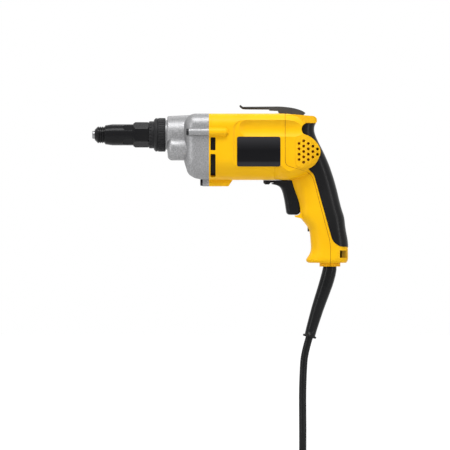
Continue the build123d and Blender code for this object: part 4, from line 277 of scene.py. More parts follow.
def finish(name, skin, grain, light, deep, polish, bump, specular=0.5, metallic=0.0):
    """A material: a shared skin feeds the colour, roughness and relief of one shader."""
    material = bpy.data.materials.new(name)
    material.use_nodes = True
    nodes = material.node_tree.nodes
    links = material.node_tree.links
    shader = nodes["Principled BSDF"]
    shader.inputs["Metallic"].default_value = metallic
    shader.inputs["Specular IOR Level"].default_value = specular
    surface = nodes.new("ShaderNodeGroup")
    surface.node_tree = skin
    surface.inputs["Grain"].default_value = grain
    surface.inputs["Light"].default_value = light
    surface.inputs["Deep"].default_value = deep
    surface.inputs["Smooth"].default_value, surface.inputs["Rough"].default_value = polish
    edges = nodes.new("ShaderNodeBevel")
    edges.samples = EDGE_SAMPLES
    edges.inputs["Radius"].default_value = EDGE_RADIUS
    relief = nodes.new("ShaderNodeBump")
    relief.inputs["Strength"].default_value, relief.inputs["Distance"].default_value = bump
    links.new(edges.outputs["Normal"], relief.inputs["Normal"])
    links.new(surface.outputs["Height"], relief.inputs["Height"])
    links.new(surface.outputs["Colour"], shader.inputs["Base Color"])
    links.new(surface.outputs["Roughness"], shader.inputs["Roughness"])
    links.new(relief.outputs["Normal"], shader.inputs["Normal"])
    return material


def paint_slot_shade(material):
    """Paint shade into the pry slots, found by their place, mixed in between the skin and the
    shader.
    """
    tree = material.node_tree
    place = split_place(tree, "Object")
    ends = (PRY_MIDDLE[0] - PRY_HALF[0], PRY_MIDDLE[0] + PRY_HALF[0])
    share = grey_ramp(tree, stretch(tree, place["X"], ends), PRY_PAINTED_SHADE)
    for axis, middle, half in zip("XZ", PRY_MIDDLE, PRY_HALF):
        near = tree.nodes.new("ShaderNodeMath")
        near.operation = "COMPARE"
        near.inputs[1].default_value = middle
        near.inputs[2].default_value = half
        tree.links.new(place[axis], near.inputs[0])
        share = combine(tree, "MULTIPLY", share, near.outputs["Value"])
    # Painted shade: the near-black colour is mixed into the yellow where the slot mask is.
    painted_shade_mix = tree.nodes.new("ShaderNodeMix")
    painted_shade_mix.data_type = "RGBA"
    painted_shade_mix.inputs["B"].default_value = YELLOW_PAINTED_SHADE
    base = tree.nodes["Principled BSDF"].inputs["Base Color"]
    tree.links.new(base.links[0].from_socket, painted_shade_mix.inputs["A"])
    tree.links.new(share, painted_shade_mix.inputs["Factor"])
    tree.links.new(painted_shade_mix.outputs["Result"], base)


def dress(material, *names):
    """Give a material to CAD pieces."""
    for name in names:
        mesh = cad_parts[name].data
        mesh.materials.clear()
        mesh.materials.append(material)


moulded_skin, *moulded_ends = effect("moulded_skin")
fill_skin(
    moulded_skin,
    moulded_ends,
    share=spread(moulded_skin, noise_at(moulded_skin, scale=26.0, detail=3.0)),
    polish=noise_at(moulded_skin, scale=120.0, detail=5.0),
    height=noise_at(moulded_skin, scale=moulded_ends[0].outputs["Grain"], detail=2.0),
)
yellow_nylon = finish(
    "yellow_nylon",
    moulded_skin,
    grain=3200.0,
    light=YELLOW_LIGHT,
    deep=YELLOW_DEEP,
    polish=(0.38, 0.48),
    bump=(0.2, 0.00005),
    specular=0.12,
)
paint_slot_shade(yellow_nylon)
dress(yellow_nylon, "motor_housing", "rear_cover")


# Seam shade: a thin brown strip of painted shade set in the joint between the housing and the
# cover, standing for the shadow in the gap. It runs up both sides of the handle and over the
# barrel's top, barely proud of the nylon.
SEAM_SHADE_CORNERS = (
    (-0.0470, 0.0694),
    (-0.0470, 0.0470),
    (-0.0150, 0.0376),
    (0.0074, -0.0460),
    (0.0074, -0.0735),
)
SEAM_SHADE_RADII = (0.007, 0.016, 0.060)
SEAM_SHADE_ARC_STEPS = 8
SEAM_SHADE_STEP = 0.002
SEAM_SHADE_TURN = 3
SEAM_SHADE_HALF_WIDTH = 0.00022
SEAM_SHADE_PROUD = 0.00004
SEAM_SHADE_DEPTH = 0.0014
SEAM_SHADE_SIDE = 0.0005
OUTSIDE = 0.12


def rounded_line(corners, radii):
    """Closely spaced points along straight runs whose corners are rounded by arcs."""
    line = [Vector(corners[0])]
    for before, corner, after, radius in zip(corners, corners[1:], corners[2:], radii):
        corner = Vector(corner)
        back = (Vector(before) - corner).normalized()
        onward = (Vector(after) - corner).normalized()
        half = back.angle(onward) / 2
        reach = radius / math.tan(half)
        middle = corner + (back + onward).normalized() * (radius / math.sin(half))
        for step in range(SEAM_SHADE_ARC_STEPS + 1):
            chord = (corner + back * reach).lerp(corner + onward * reach, step / SEAM_SHADE_ARC_STEPS)
            line.append(middle + (chord - middle).normalized() * radius)
    line.append(Vector(corners[-1]))
    points = []
    for start, end in zip(line, line[1:]):
        parts = max(1, round((end - start).length / SEAM_SHADE_STEP))
        points += [start.lerp(end, part / parts) for part in range(parts)]
    return points + [line[-1]]


def seam_shade_place(place, across, inward):
    """Where the painted shade strip sits: the middle of two points on the skins beside it, out and
    across.
    """
    sides = [
        yellow_skin.ray_cast(place + across * shift, inward)[0] for shift in (-SEAM_SHADE_SIDE, SEAM_SHADE_SIDE)
    ]
    if None in sides:
        return []
    slope = (sides[1] - sides[0]).normalized()
    outward = -inward - slope * slope.dot(-inward)
    return [(sides[0].lerp(sides[1], 0.5), outward.normalized(), slope)]


def seam_shade_run(side):
    """The painted shade strip's places down one side of the tool."""
    run = []
    for before, here, after in zip(seam_shade_line, seam_shade_line[1:], seam_shade_line[2:]):
        along = (after - before).normalized()
        across = Vector((-along.y, 0.0, along.x))
        run += seam_shade_place(Vector((here.x, side * OUTSIDE, here.y)), across, Vector((0, -side, 0)))
    return run


def bridge(form, rings):
    """Join each ring of corners to the next, cap both ends and return the faces between."""
    sides = []
    for ring, after in zip(rings, rings[1:]):
        for index in range(len(ring)):
            other = (index + 1) % len(ring)
            sides.append(form.faces.new((ring[index], ring[other], after[other], after[index])))
    form.faces.new(rings[0])
    form.faces.new(rings[-1])
    bmesh.ops.recalc_face_normals(form, faces=form.faces)
    return sides


def add_piece(name, form, material):
    """A new object from a finished form, in one material."""
    mesh = bpy.data.meshes.new(name)
    form.to_mesh(mesh)
    form.free()
    mesh.materials.append(material)
    piece = bpy.data.objects.new(name, mesh)
    bpy.context.collection.objects.link(piece)
    return piece


skin_points = []
skin_faces = []
for name in ("motor_housing", "rear_cover"):
    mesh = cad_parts[name].data
    start = len(skin_points)
    skin_points += [vertex.co for vertex in mesh.vertices]
    skin_faces += [[start + index for index in face.vertices] for face in mesh.polygons]
yellow_skin = BVHTree.FromPolygons(skin_points, skin_faces)
seam_shade_line = rounded_line(SEAM_SHADE_CORNERS, SEAM_SHADE_RADII)
seam_shade_over = []
for turn in range(180 - SEAM_SHADE_TURN, 0, -SEAM_SHADE_TURN):
    aim = Vector((0.0, math.cos(math.radians(turn)), math.sin(math.radians(turn))))
    axis = Vector((SEAM_SHADE_CORNERS[0][0], 0.0, SEAM_SHADE_CORNERS[0][1]))
    seam_shade_over += seam_shade_place(axis + aim * OUTSIDE, Vector((1, 0, 0)), -aim)
seam_shade_form = bmesh.new()
seam_shade_rings = []
for point, outward, across in seam_shade_run(-1)[::-1] + seam_shade_over + seam_shade_run(1):
    edge = across * SEAM_SHADE_HALF_WIDTH
    outer = point + outward * SEAM_SHADE_PROUD
    inner = point - outward * SEAM_SHADE_DEPTH
    ring = (outer - edge, outer + edge, inner + edge, inner - edge)
    seam_shade_rings.append([seam_shade_form.verts.new(corner) for corner in ring])
bridge(seam_shade_form, seam_shade_rings)
# Painted shade: a dark brown colour standing for the shadow in the joint's gap.
seam_painted_shade = finish(
    "seam_painted_shade",
    moulded_skin,
    grain=2600.0,
    light=(0.300, 0.085, 0.010, 1.0),
    deep=(0.240, 0.066, 0.008, 1.0),
    polish=(0.6, 0.7),
    bump=(0.2, 0.00005),
    specular=0.1,
)
seam_shade_strip = add_piece("seam_shade_strip", seam_shade_form, seam_painted_shade)
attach(seam_shade_strip, "housing")


# Shade sheets: thin sheets with a woven skin inside the mouldings, painted shade seen through the
# holes. Black behind the side vents stands for the dark inside, brown behind the grille's round
# holes for the shaded yellow walls in them. They follow the inner walls, clear of the fan.
SHADE_SHEET_THICKNESS = 0.0003
GRILLE_SHADE_SHEET = (
    (-0.0345, 0.0299, 0.0495, 0.0840),
    (-0.0320, 0.0293, 0.0495, 0.0830),
    (-0.0290, 0.0281, 0.0495, 0.0812),
    (-0.0250, 0.0263, 0.0495, 0.0795),
    (-0.0200, 0.0237, 0.0505, 0.0765),
    (-0.0150, 0.0203, 0.0535, 0.0726),
    (-0.0118, 0.0180, 0.0560, 0.0682),
)
VENT_SHADE_SHEET_FRONT = -0.1370
VENT_SHADE_SHEET_REAR = -0.1292
VENT_SHADE_SHEET_TOP = 0.0830
VENT_SHADE_SHEET_Y = 0.0324
VENT_SHADE_SHEET_BEND = 0.0558
VENT_SHADE_SHEET_RADIUS = 0.0224
VENT_SHADE_SHEET_SWEEP = 78
VENT_SHADE_SHEET_STEPS = 10


def gauze(name, light, deep):
    """A woven material in two shades of one colour."""
    return finish(
        name,
        woven_skin,
        grain=2600.0,
        light=light,
        deep=deep,
        polish=(0.6, 0.8),
        bump=(0.6, 0.0001),
        specular=0.2,
    )


def add_shade_sheet(name, weave, first_edge, second_edge):
    """A painted shade sheet between two edges, given as rows of points."""
    form = bmesh.new()
    rows = [[form.verts.new(point) for point in edge] for edge in (first_edge, second_edge)]
    for index in range(len(first_edge) - 1):
        form.faces.new((rows[0][index], rows[0][index + 1], rows[1][index + 1], rows[1][index]))
    shade_sheet = add_piece(name, form, weave)
    sheet = shade_sheet.modifiers.new("gauze", "SOLIDIFY")
    sheet.thickness = SHADE_SHEET_THICKNESS
    sheet.offset = 0.0
    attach(shade_sheet, "housing")


woven_skin, *woven_ends = effect("woven_skin")
woven_place = woven_skin.nodes.new("ShaderNodeTexCoord")
woven_check = woven_skin.nodes.new("ShaderNodeTexChecker")
woven_skin.links.new(woven_place.outputs["Object"], woven_check.inputs["Vector"])
woven_skin.links.new(woven_ends[0].outputs["Grain"], woven_check.inputs["Scale"])
fill_skin(
    woven_skin,
    woven_ends,
    share=woven_check.outputs["Fac"],
    polish=noise_at(woven_skin, scale=3000.0, detail=2.0),
    height=woven_check.outputs["Fac"],
)
# Painted shade: black for the dark inside the side vents, brown for the shaded yellow walls inside
# the grille's holes.
vent_painted_shade = gauze("vent_painted_shade", light=(0.010, 0.010, 0.011, 1.0), deep=(0.003, 0.003, 0.003, 1.0))
grille_painted_shade = gauze("grille_painted_shade", light=(0.70, 0.20, 0.05, 1.0), deep=(0.56, 0.16, 0.04, 1.0))
vent_profile = [(VENT_SHADE_SHEET_Y, VENT_SHADE_SHEET_TOP)]
for step in range(VENT_SHADE_SHEET_STEPS + 1):
    turn = math.radians(VENT_SHADE_SHEET_SWEEP * step / VENT_SHADE_SHEET_STEPS)
    vent_profile.append(
        (
            VENT_SHADE_SHEET_Y - VENT_SHADE_SHEET_RADIUS * (1 - math.cos(turn)),
            VENT_SHADE_SHEET_BEND - VENT_SHADE_SHEET_RADIUS * math.sin(turn),
        )
    )
for side, side_name in ((-1, "left"), (1, "right")):
    add_shade_sheet(
        f"grille_shade_sheet_{side_name}",
        grille_painted_shade,
        [(x, side * y, low) for x, y, low, _ in GRILLE_SHADE_SHEET],
        [(x, side * y, high) for x, y, _, high in GRILLE_SHADE_SHEET],
    )
    add_shade_sheet(
        f"vent_shade_sheet_{side_name}",
        vent_painted_shade,
        [(VENT_SHADE_SHEET_FRONT, side * y, z) for y, z in vent_profile],
        [(VENT_SHADE_SHEET_REAR, side * y, z) for y, z in vent_profile],
    )


# Rubber grip: a soft black skin moulded over the handle's back, a little proud of the nylon.
# It is finely textured and more matt than the hard black pieces.
RUBBER_LIGHT = (0.007, 0.007, 0.0075, 1.0)
RUBBER_DEEP = (0.003, 0.003, 0.0035, 1.0)
grip_rubber = finish(
    "grip_rubber",
    moulded_skin,
    grain=2600.0,
    light=RUBBER_LIGHT,
    deep=RUBBER_DEEP,
    polish=(0.26, 0.34),
    bump=(0.3, 0.00005),
    specular=0.15,
)
dress(grip_rubber, "rubber_grip")


# Name plate: a bare dark plate stuck in its recess on the left side. Its dark lacquer carries a
# painted sheen that fades from dark grey at both edges to black in the middle.
# Painted sheen: grey levels up the plate's height, from its bottom edge (0) to its top edge (1).
PLATE_PAINTED_SHEEN = ((0.0, 0.75), (0.13, 0.65), (0.18, 0.05), (0.55, 0.0), (0.70, 0.25), (1.0, 1.0))
plate_low, plate_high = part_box("name_plate")
plate_sheen_skin, *plate_ends = effect("plate_sheen_skin")
plate_height = split_place(plate_sheen_skin, "Object")["Z"]
plate_height = stretch(plate_sheen_skin, plate_height, (plate_low[2], plate_high[2]))
fill_skin(
    plate_sheen_skin,
    plate_ends,
    share=grey_ramp(plate_sheen_skin, plate_height, PLATE_PAINTED_SHEEN),
    polish=noise_at(plate_sheen_skin, scale=90.0, detail=3.0),
    height=noise_at(plate_sheen_skin, scale=plate_ends[0].outputs["Grain"], detail=1.0),
)
plate_painted_sheen = finish(
    "plate_painted_sheen",
    plate_sheen_skin,
    grain=5000.0,
    light=(0.030, 0.030, 0.033, 1.0),
    deep=(0.003, 0.003, 0.004, 1.0),
    polish=(0.28, 0.31),
    bump=(0.05, 0.00005),
    specular=0.1,
)
dress(plate_painted_sheen, "name_plate")


# Gear case and bearing plate: die-cast aluminium, blasted to an even grey grain. Three screws
# hold the case to the motor housing.
cast_skin, *cast_ends = effect("cast_skin")
cast_grain = noise_at(cast_skin, scale=cast_ends[0].outputs["Grain"], detail=3.0)
fill_skin(
    cast_skin,
    cast_ends,
    share=spread(cast_skin, cast_grain),
    polish=noise_at(cast_skin, scale=60.0, detail=4.0),
    height=cast_grain,
)
blasted_casting = finish(
    "blasted_casting",
    cast_skin,
    grain=640.0,
    light=(0.32, 0.32, 0.325, 1.0),
    deep=(0.19, 0.19, 0.195, 1.0),
    polish=(0.40, 0.48),
    bump=(0.4, 0.00012),
    specular=0.5,
    metallic=0.6,
)
dress(blasted_casting, "gear_case", "bearing_plate")


# Screws of the gear case, cover and belt clip: steel with a black oxide finish and a hex socket,
# driven into bosses in the mouldings.
LATHE_LINES = (1.0, 0.02, 0.02)
turned_skin, *turned_ends = effect("turned_skin")
turned_place = turned_skin.nodes.new("ShaderNodeTexCoord")
turned_stretch = turned_skin.nodes.new("ShaderNodeMapping")
turned_stretch.inputs["Scale"].default_value = LATHE_LINES
turned_skin.links.new(turned_place.outputs["Object"], turned_stretch.inputs["Vector"])
turned_lines = noise_at(
    turned_skin,
    scale=turned_ends[0].outputs["Grain"],
    detail=2.0,
    place=turned_stretch.outputs["Vector"],
)
fill_skin(
    turned_skin,
    turned_ends,
    share=spread(turned_skin, turned_lines),
    polish=turned_lines,
    height=turned_lines,
)
blackened_steel = finish(
    "blackened_steel",
    turned_skin,
    grain=3000.0,
    light=(0.022, 0.022, 0.024, 1.0),
    deep=(0.012, 0.012, 0.014, 1.0),
    polish=(0.30, 0.45),
    bump=(0.2, 0.00005),
    specular=0.3,
    metallic=0.6,
)
dress(blackened_steel, "case_screws", "cover_screw", "clip_screw")


# Nose: the ribbed locator tip, the sleeve and the hexagonal collar behind it, moulded in hard
# black nylon with a slight gloss. They slide as one on the neck's thread.
BLACK_LIGHT = (0.006, 0.006, 0.0065, 1.0)
BLACK_DEEP = (0.003, 0.003, 0.004, 1.0)
nose_nylon = finish(
    "nose_nylon",
    moulded_skin,
    grain=3600.0,
    light=BLACK_LIGHT,
    deep=BLACK_DEEP,
    polish=(0.22, 0.28),
    bump=(0.1, 0.00005),
    specular=0.14,
)
dress(nose_nylon, "nose_tip", "nose_sleeve", "hex_collar")


# Adjusting collar and detent ring: the same nylon with a matt skin that fingers can turn. The
# ring clicks into the collar's notches.
collar_nylon = finish(
    "collar_nylon",
    moulded_skin,
    grain=2400.0,
    light=(0.020, 0.020, 0.021, 1.0),
    deep=(0.012, 0.012, 0.013, 1.0),
    polish=(0.42, 0.54),
    bump=(0.4, 0.00005),
    specular=0.12,
)
dress(collar_nylon, "adjusting_collar", "detent_ring")


# Bit holder, spindle, gears, shafts, brush springs and bearings: turned and ground steel with
# fine lathe lines, running inside the gear case and the motor.
turned_steel = finish(
    "turned_steel",
    turned_skin,
    grain=4000.0,
    light=(0.26, 0.26, 0.265, 1.0),
    deep=(0.17, 0.17, 0.175, 1.0),
    polish=(0.22, 0.36),
    bump=(0.2, 0.00005),
    metallic=1.0,
)
dress(turned_steel, "bit_holder", "bit_magnet", "spindle", "thrust_washer", "nose_ring")
dress(turned_steel, "clutch_gear", "lay_shaft", "lay_gear", "armature_shaft")
dress(turned_steel, "front_bearing", "rear_bearing", "brush_springs", "clamp_screws")


def add_spring(node, body):
    """A copy of a CAD spring in turned steel that rides with a body, in place of the hidden CAD
    spring.
    """
    coil = bpy.data.objects.new(f"{node}_coil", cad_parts[node].data.copy())
    bpy.context.collection.objects.link(coil)
    coil.data.materials.clear()
    coil.data.materials.append(turned_steel)
    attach(coil, body)
    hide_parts(node)
    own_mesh(coil)


add_spring("clutch_spring", "clutch")
add_spring("trigger_spring", "housing")


# Bushes, brush holders and plug blades: bronze and brass, pressed into the case, the carrier and
# the plug.
bronze = finish(
    "bronze",
    turned_skin,
    grain=3000.0,
    light=(0.66, 0.46, 0.20, 1.0),
    deep=(0.50, 0.33, 0.13, 1.0),
    polish=(0.28, 0.42),
    bump=(0.2, 0.00005),
    metallic=1.0,
)
dress(bronze, "spindle_bush", "lay_bushes", "brush_holders", "plug_blades")


# Armature core and field stack: thin steel sheets stacked along the shaft, their edges showing as
# fine lines.
stacked_sheets = finish(
    "stacked_sheets",
    turned_skin,
    grain=1600.0,
    light=(0.34, 0.34, 0.36, 1.0),
    deep=(0.20, 0.20, 0.21, 1.0),
    polish=(0.35, 0.55),
    bump=(0.6, 0.00005),
    metallic=0.9,
)
dress(stacked_sheets, "armature_core", "field_stack")


# Windings, field coils and commutator: enamelled copper wire wound through the slots, and the
# copper bars that the brushes run on.
enamelled_copper = finish(
    "enamelled_copper",
    turned_skin,
    grain=900.0,
    light=(0.62, 0.24, 0.09, 1.0),
    deep=(0.38, 0.12, 0.04, 1.0),
    polish=(0.22, 0.38),
    bump=(0.8, 0.0002),
    metallic=0.8,
)
dress(enamelled_copper, "armature_windings", "field_coils", "commutator")


# Fan, baffle, brush carrier and brushes, switch, plunger and cord clamp: dark glass-filled
# mouldings and carbon blocks inside the housing.
inner_moulding = finish(
    "inner_moulding",
    moulded_skin,
    grain=2200.0,
    light=(0.020, 0.020, 0.022, 1.0),
    deep=(0.012, 0.012, 0.013, 1.0),
    polish=(0.40, 0.60),
    bump=(0.3, 0.00005),
    specular=0.3,
)
dress(inner_moulding, "fan", "fan_baffle", "brush_carrier", "carbon_brushes")
dress(inner_moulding, "switch_body", "switch_plunger", "cord_clamp")


# Trigger and reversing lever: smooth black nylon in the pocket under the barrel. The lever swings
# over the trigger's top between its cheeks. Below it the trigger's front is rounded for the finger.
TRIGGER_VOXEL = 0.0005
TRIGGER_SMOOTHING = 0.5
TRIGGER_SMOOTHINGS = 4
TRIGGER_FRONT_RADIUS = 0.0065
TRIGGER_BAND = 0.0005
TRIGGER_ROUND_TOP = 0.0235
TRIGGER_ROUND_FADE = 0.004
trigger_nylon = finish(
    "trigger_nylon",
    moulded_skin,
    grain=3600.0,
    light=BLACK_LIGHT,
    deep=BLACK_DEEP,
    polish=(0.22, 0.28),
    bump=(0.1, 0.00005),
    specular=0.14,
)
dress(trigger_nylon, "trigger", "reversing_lever")
trigger_shell = bpy.data.objects.new("trigger_shell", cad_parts["trigger"].data.copy())
bpy.context.collection.objects.link(trigger_shell)
even_mesh = trigger_shell.modifiers.new("even_mesh", "REMESH")
even_mesh.mode = "VOXEL"
even_mesh.voxel_size = TRIGGER_VOXEL
even_mesh.use_smooth_shade = True
soft_edges = trigger_shell.modifiers.new("soft_edges", "SMOOTH")
soft_edges.factor = TRIGGER_SMOOTHING
soft_edges.iterations = TRIGGER_SMOOTHINGS
bpy.context.view_layer.update()
shell_mesh = bpy.data.meshes.new_from_object(
    trigger_shell.evaluated_get(bpy.context.evaluated_depsgraph_get())
)
trigger_shell.modifiers.clear()
trigger_shell.data = shell_mesh
shell_mesh.materials.clear()
shell_mesh.materials.append(trigger_nylon)
fronts = {}
for vertex in shell_mesh.vertices:
    band = round(vertex.co.z / TRIGGER_BAND)
    fronts[band] = min(vertex.co.x, fronts.get(band, vertex.co.x))
half_width = max(vertex.co.y for vertex in shell_mesh.vertices)
for vertex in shell_mesh.vertices:
    depth = vertex.co.x - fronts[round(vertex.co.z / TRIGGER_BAND)]
    short = max(TRIGGER_FRONT_RADIUS - depth, 0.0)
    cut = TRIGGER_FRONT_RADIUS - math.sqrt(TRIGGER_FRONT_RADIUS**2 - short**2)
    fade = (TRIGGER_ROUND_TOP - vertex.co.z) / TRIGGER_ROUND_FADE
    vertex.co.y *= 1 - cut / half_width * min(max(fade, 0.0), 1.0)
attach(trigger_shell, "trigger")
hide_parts("trigger")


# Belt clip: a sprung arm moulded in dark grey nylon, held on top of the rear cover by one screw.
# A rib thickens the arm from below. Its skin is satin and shows no gloss from the side.
RIB_OUTLINE = (
    (-0.1010, 0.1182),
    (-0.1012, 0.1174),
    (-0.0978, 0.1150),
    (-0.0940, 0.1146),
    (-0.0660, 0.1144),
    (-0.0650, 0.1160),
    (-0.0660, 0.1163),
    (-0.0974, 0.1163),
)
RIB_HALF_WIDTH = 0.0084
RIB_ROUNDING = 0.0004
RIB_ROUNDING_STEPS = 2
clip_nylon = finish(
    "clip_nylon",
    moulded_skin,
    grain=2800.0,
    light=(0.061, 0.063, 0.067, 1.0),
    deep=(0.045, 0.047, 0.051, 1.0),
    polish=(0.44, 0.56),
    bump=(0.2, 0.00005),
    specular=0.15,
)
dress(clip_nylon, "belt_clip")
rib_form = bmesh.new()
rib_sides = [
    [rib_form.verts.new((x, y, z)) for x, z in RIB_OUTLINE]
    for y in (-RIB_HALF_WIDTH, RIB_HALF_WIDTH)
]
bridge(rib_form, rib_sides)
clip_rib = add_piece("clip_rib", rib_form, clip_nylon)
rib_edges = clip_rib.modifiers.new("rounded_edges", "BEVEL")
rib_edges.width = RIB_ROUNDING
rib_edges.segments = RIB_ROUNDING_STEPS
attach(clip_rib, "housing")


# Cord boot: the tapered rubber strain relief on the handle's base, bent to the cord's lean, with a
# rolled bead round its mouth. The end of the cord goes on inside to the clamp.
CORD_EXIT = (-0.01726, 0.0, -0.15770)
BOOT_RINGS = (
    (0.0071, -0.0686, 0.00790),
    (0.0071, -0.0736, 0.00790),
    (0.0068, -0.0770, 0.00835),
    (0.0056, -0.0830, 0.00850),
    (0.0040, -0.0890, 0.00850),
    (0.0022, -0.0950, 0.00840),
    (0.0002, -0.1010, 0.00820),
    (-0.0018, -0.1070, 0.00800),
    (-0.0039, -0.1130, 0.00780),
    (-0.0079, -0.1250, 0.00740),
    (-0.0115, -0.1370, 0.00700),
    (-0.0150, -0.1490, 0.00660),
)
BEAD_RINGS = (
    (-0.0016, 0.0064),
    (-0.0013, 0.0076),
    (-0.0008, 0.0082),
    (0.0, 0.0084),
    (0.0008, 0.0082),
    (0.0013, 0.0074),
    (0.0014, 0.0042),
)
BOOT_SIDES = 32
cord_jacket = finish(
    "cord_jacket",
    moulded_skin,
    grain=1800.0,
    light=RUBBER_LIGHT,
    deep=RUBBER_DEEP,
    polish=(0.24, 0.32),
    bump=(0.25, 0.00005),
    specular=0.14,
)
dress(cord_jacket, "cord_end")
boot_mouth = Vector(CORD_EXIT)
boot_places = [(Vector((x, 0.0, z)), radius) for x, z, radius in BOOT_RINGS]
boot_lean = (boot_mouth - boot_places[-1][0]).normalized()
boot_places += [(boot_mouth + boot_lean * reach, radius) for reach, radius in BEAD_RINGS]
boot_form = bmesh.new()
boot_rings = []
for index, (middle, radius) in enumerate(boot_places):
    before = boot_places[max(index - 1, 0)][0]
    after = boot_places[min(index + 1, len(boot_places) - 1)][0]
    along = (after - before).normalized()
    across = Vector((-along.z, 0.0, along.x))
    ring = []
    for side in range(BOOT_SIDES):
        turn = math.tau * side / BOOT_SIDES
        spoke = across * math.cos(turn) + Vector((0.0, math.sin(turn), 0.0))
        ring.append(boot_form.verts.new(middle + spoke * radius))
    boot_rings.append(ring)
for face in bridge(boot_form, boot_rings):
    face.smooth = True
boot_sleeve = add_piece("boot_sleeve", boot_form, cord_jacket)
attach(boot_sleeve, "housing")
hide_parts("cord_boot")


# Cord: 2.5 m of black rubber-jacketed cable. It hangs from the boot, turns onto the floor and
# lies there in a tied coil of two layers, spiralling in on top and out again below.
CORD_DIAMETER = 0.009
UPPER_LAYER = -0.3287
LAYER_STEP = 0.0096
CORD_DROP = (
    (-0.0235, 0.0, -0.178),
    (-0.0250, -0.0040, -0.199),
    (-0.0260, -0.0130, -0.225),
    (-0.0260, -0.0215, -0.249),
    (-0.0260, -0.0289, -0.2724),
    (-0.0260, -0.0250, -0.2971),
    (-0.0260, -0.0103, -0.31735),
    (-0.0260, 0.0120, UPPER_LAYER),
)
COIL_SIDE = -0.026
COIL_LINE = 0.037
COIL_OUTER = 0.066
COIL_STEP = 0.0048
COIL_HALF_TURNS = 6
POINTS_PER_HALF = 10
PLUG_AXIS = -0.333
TAIL_RUN = 0.039
TAIL_RISE_START = 0.4
TAIL_RISE_END = 0.6
SPLINE_ORDER = 3
SPLINE_STEPS = 6
JACKET_STEPS = 5


def coil_points():
    """Points round the turns: in on the upper layer, down a layer, out on the lower one."""
    inward = [COIL_OUTER - COIL_STEP * turn for turn in range(COIL_HALF_TURNS)]
    innermost = COIL_OUTER - COIL_STEP * COIL_HALF_TURNS
    turns = [(radius, 0.0) for radius in inward]
    turns.append((innermost, LAYER_STEP))
    turns += [(radius, 0.0) for radius in reversed(inward)]
    bulge = 1.0 / math.cos(math.pi / POINTS_PER_HALF / 2)
    points = []
    side = COIL_SIDE
    level = UPPER_LAYER
    heading = 1
    for radius, drop in turns:
        middle = side - radius * heading
        for step in range(POINTS_PER_HALF):
            angle = (step + 0.5) * math.pi / POINTS_PER_HALF
            x = middle + radius * bulge * math.cos(angle) * heading
            y = COIL_LINE + radius * bulge * math.sin(angle) * heading
            points.append((x, y, level - drop * (1 - math.cos(angle)) / 2))
        side = middle - radius * heading
        level -= drop
        heading = -heading
    last = COIL_OUTER + COIL_STEP
    for step in range(POINTS_PER_HALF // 2):
        angle = (step + 0.5) * math.pi / POINTS_PER_HALF
        x = side + last - last * bulge * math.cos(angle)
        points.append((x, COIL_LINE - last * bulge * math.sin(angle), level))
    leave_x = side + last
    leave_y = COIL_LINE - last
    points.append((leave_x, leave_y, level))
    points.append((leave_x + TAIL_RUN * TAIL_RISE_START, leave_y, level))
    points.append((leave_x + TAIL_RUN * TAIL_RISE_END, leave_y, PLUG_AXIS))
    points.append((leave_x + TAIL_RUN, leave_y, PLUG_AXIS))
    points.append((leave_x + TAIL_RUN + CORD_DIAMETER, leave_y, PLUG_AXIS))
    return points


cord_points = [CORD_EXIT, *CORD_DROP, (COIL_SIDE, COIL_LINE, UPPER_LAYER), *coil_points()]
cord_line = bpy.data.curves.new("supply_cord", "CURVE")
cord_line.dimensions = "3D"
cord_spline = cord_line.splines.new("NURBS")
cord_spline.points.add(len(cord_points) - 1)
for place, point in zip(cord_spline.points, cord_points):
    place.co = (*point, 1.0)
cord_spline.order_u = SPLINE_ORDER
cord_spline.use_endpoint_u = True
cord_spline.resolution_u = SPLINE_STEPS
cord_line.bevel_depth = CORD_DIAMETER / 2
cord_line.bevel_resolution = JACKET_STEPS
supply_cord = bpy.data.objects.new("supply_cord", cord_line)
bpy.context.collection.objects.link(supply_cord)
cord_line.materials.append(cord_jacket)
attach(supply_cord, "housing")
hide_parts("cord", "cord_coil")


# Plug body: moulded onto the cord's end and round two flat blades, in the same rubber as the
# cord's jacket. It lies on the floor beside the coil.
dress(cord_jacket, "plug_body")


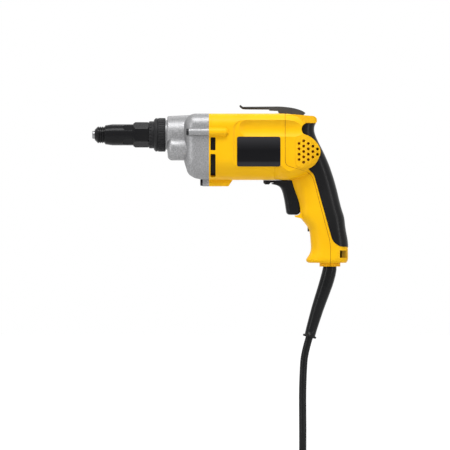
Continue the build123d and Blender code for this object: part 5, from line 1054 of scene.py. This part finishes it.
# Tie: a woven hook and loop band round the turns on the coil's far side. Its end is lapped back
# over the top.
TIE_THICKNESS = 0.0012
TIE_CORNER = 0.0050
TIE_STEPS = 6
TIE_LAP = slice(TIE_STEPS // 2, 3 * TIE_STEPS // 2 + 3)
tie_low, tie_high = (Vector(corner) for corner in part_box("cord_tie"))


def band_outline(inset):
    """The points of the band's rounded outline, drawn in by a distance, from the top corner."""
    corner = TIE_CORNER - inset
    near, far = tie_low.y + TIE_CORNER, tie_high.y - TIE_CORNER
    below, above = tie_low.z + TIE_CORNER, tie_high.z - TIE_CORNER
    points = []
    for y, z, start in ((far, above, 0), (near, above, 90), (near, below, 180), (far, below, 270)):
        for step in range(TIE_STEPS + 1):
            angle = math.radians(start + 90 * step / TIE_STEPS)
            points.append((y + corner * math.cos(angle), z + corner * math.sin(angle)))
    return points


def add_strip(form, inner, outer, closed):
    """A strip of the band's width between two runs of points, closed on itself or with two ends."""
    left, right = tie_low.x, tie_high.x
    rings = []
    for x, run in ((left, outer), (right, outer), (right, inner), (left, inner)):
        rings.append([form.verts.new((x, y, z)) for y, z in run])
    count = len(inner)
    for ring, after in zip(rings, rings[1:] + rings[:1]):
        for index in range(count if closed else count - 1):
            other = (index + 1) % count
            form.faces.new((ring[index], ring[other], after[other], after[index]))
    if not closed:
        form.faces.new([ring[0] for ring in rings])
        form.faces.new([ring[-1] for ring in rings])


tie_weave = finish(
    "tie_weave",
    woven_skin,
    grain=1100.0,
    light=(0.050, 0.050, 0.055, 1.0),
    deep=(0.030, 0.030, 0.033, 1.0),
    polish=(0.75, 0.95),
    bump=(0.6, 0.0002),
)
tie_form = bmesh.new()
tie_outer = band_outline(0.0)
tie_top = band_outline(-TIE_THICKNESS)
add_strip(tie_form, band_outline(TIE_THICKNESS), tie_outer, closed=True)
add_strip(tie_form, tie_outer[TIE_LAP], tie_top[TIE_LAP], closed=False)
bmesh.ops.recalc_face_normals(tie_form, faces=tie_form.faces)
tie_band = add_piece("tie_band", tie_form, tie_weave)
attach(tie_band, "housing")
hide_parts("cord_tie")
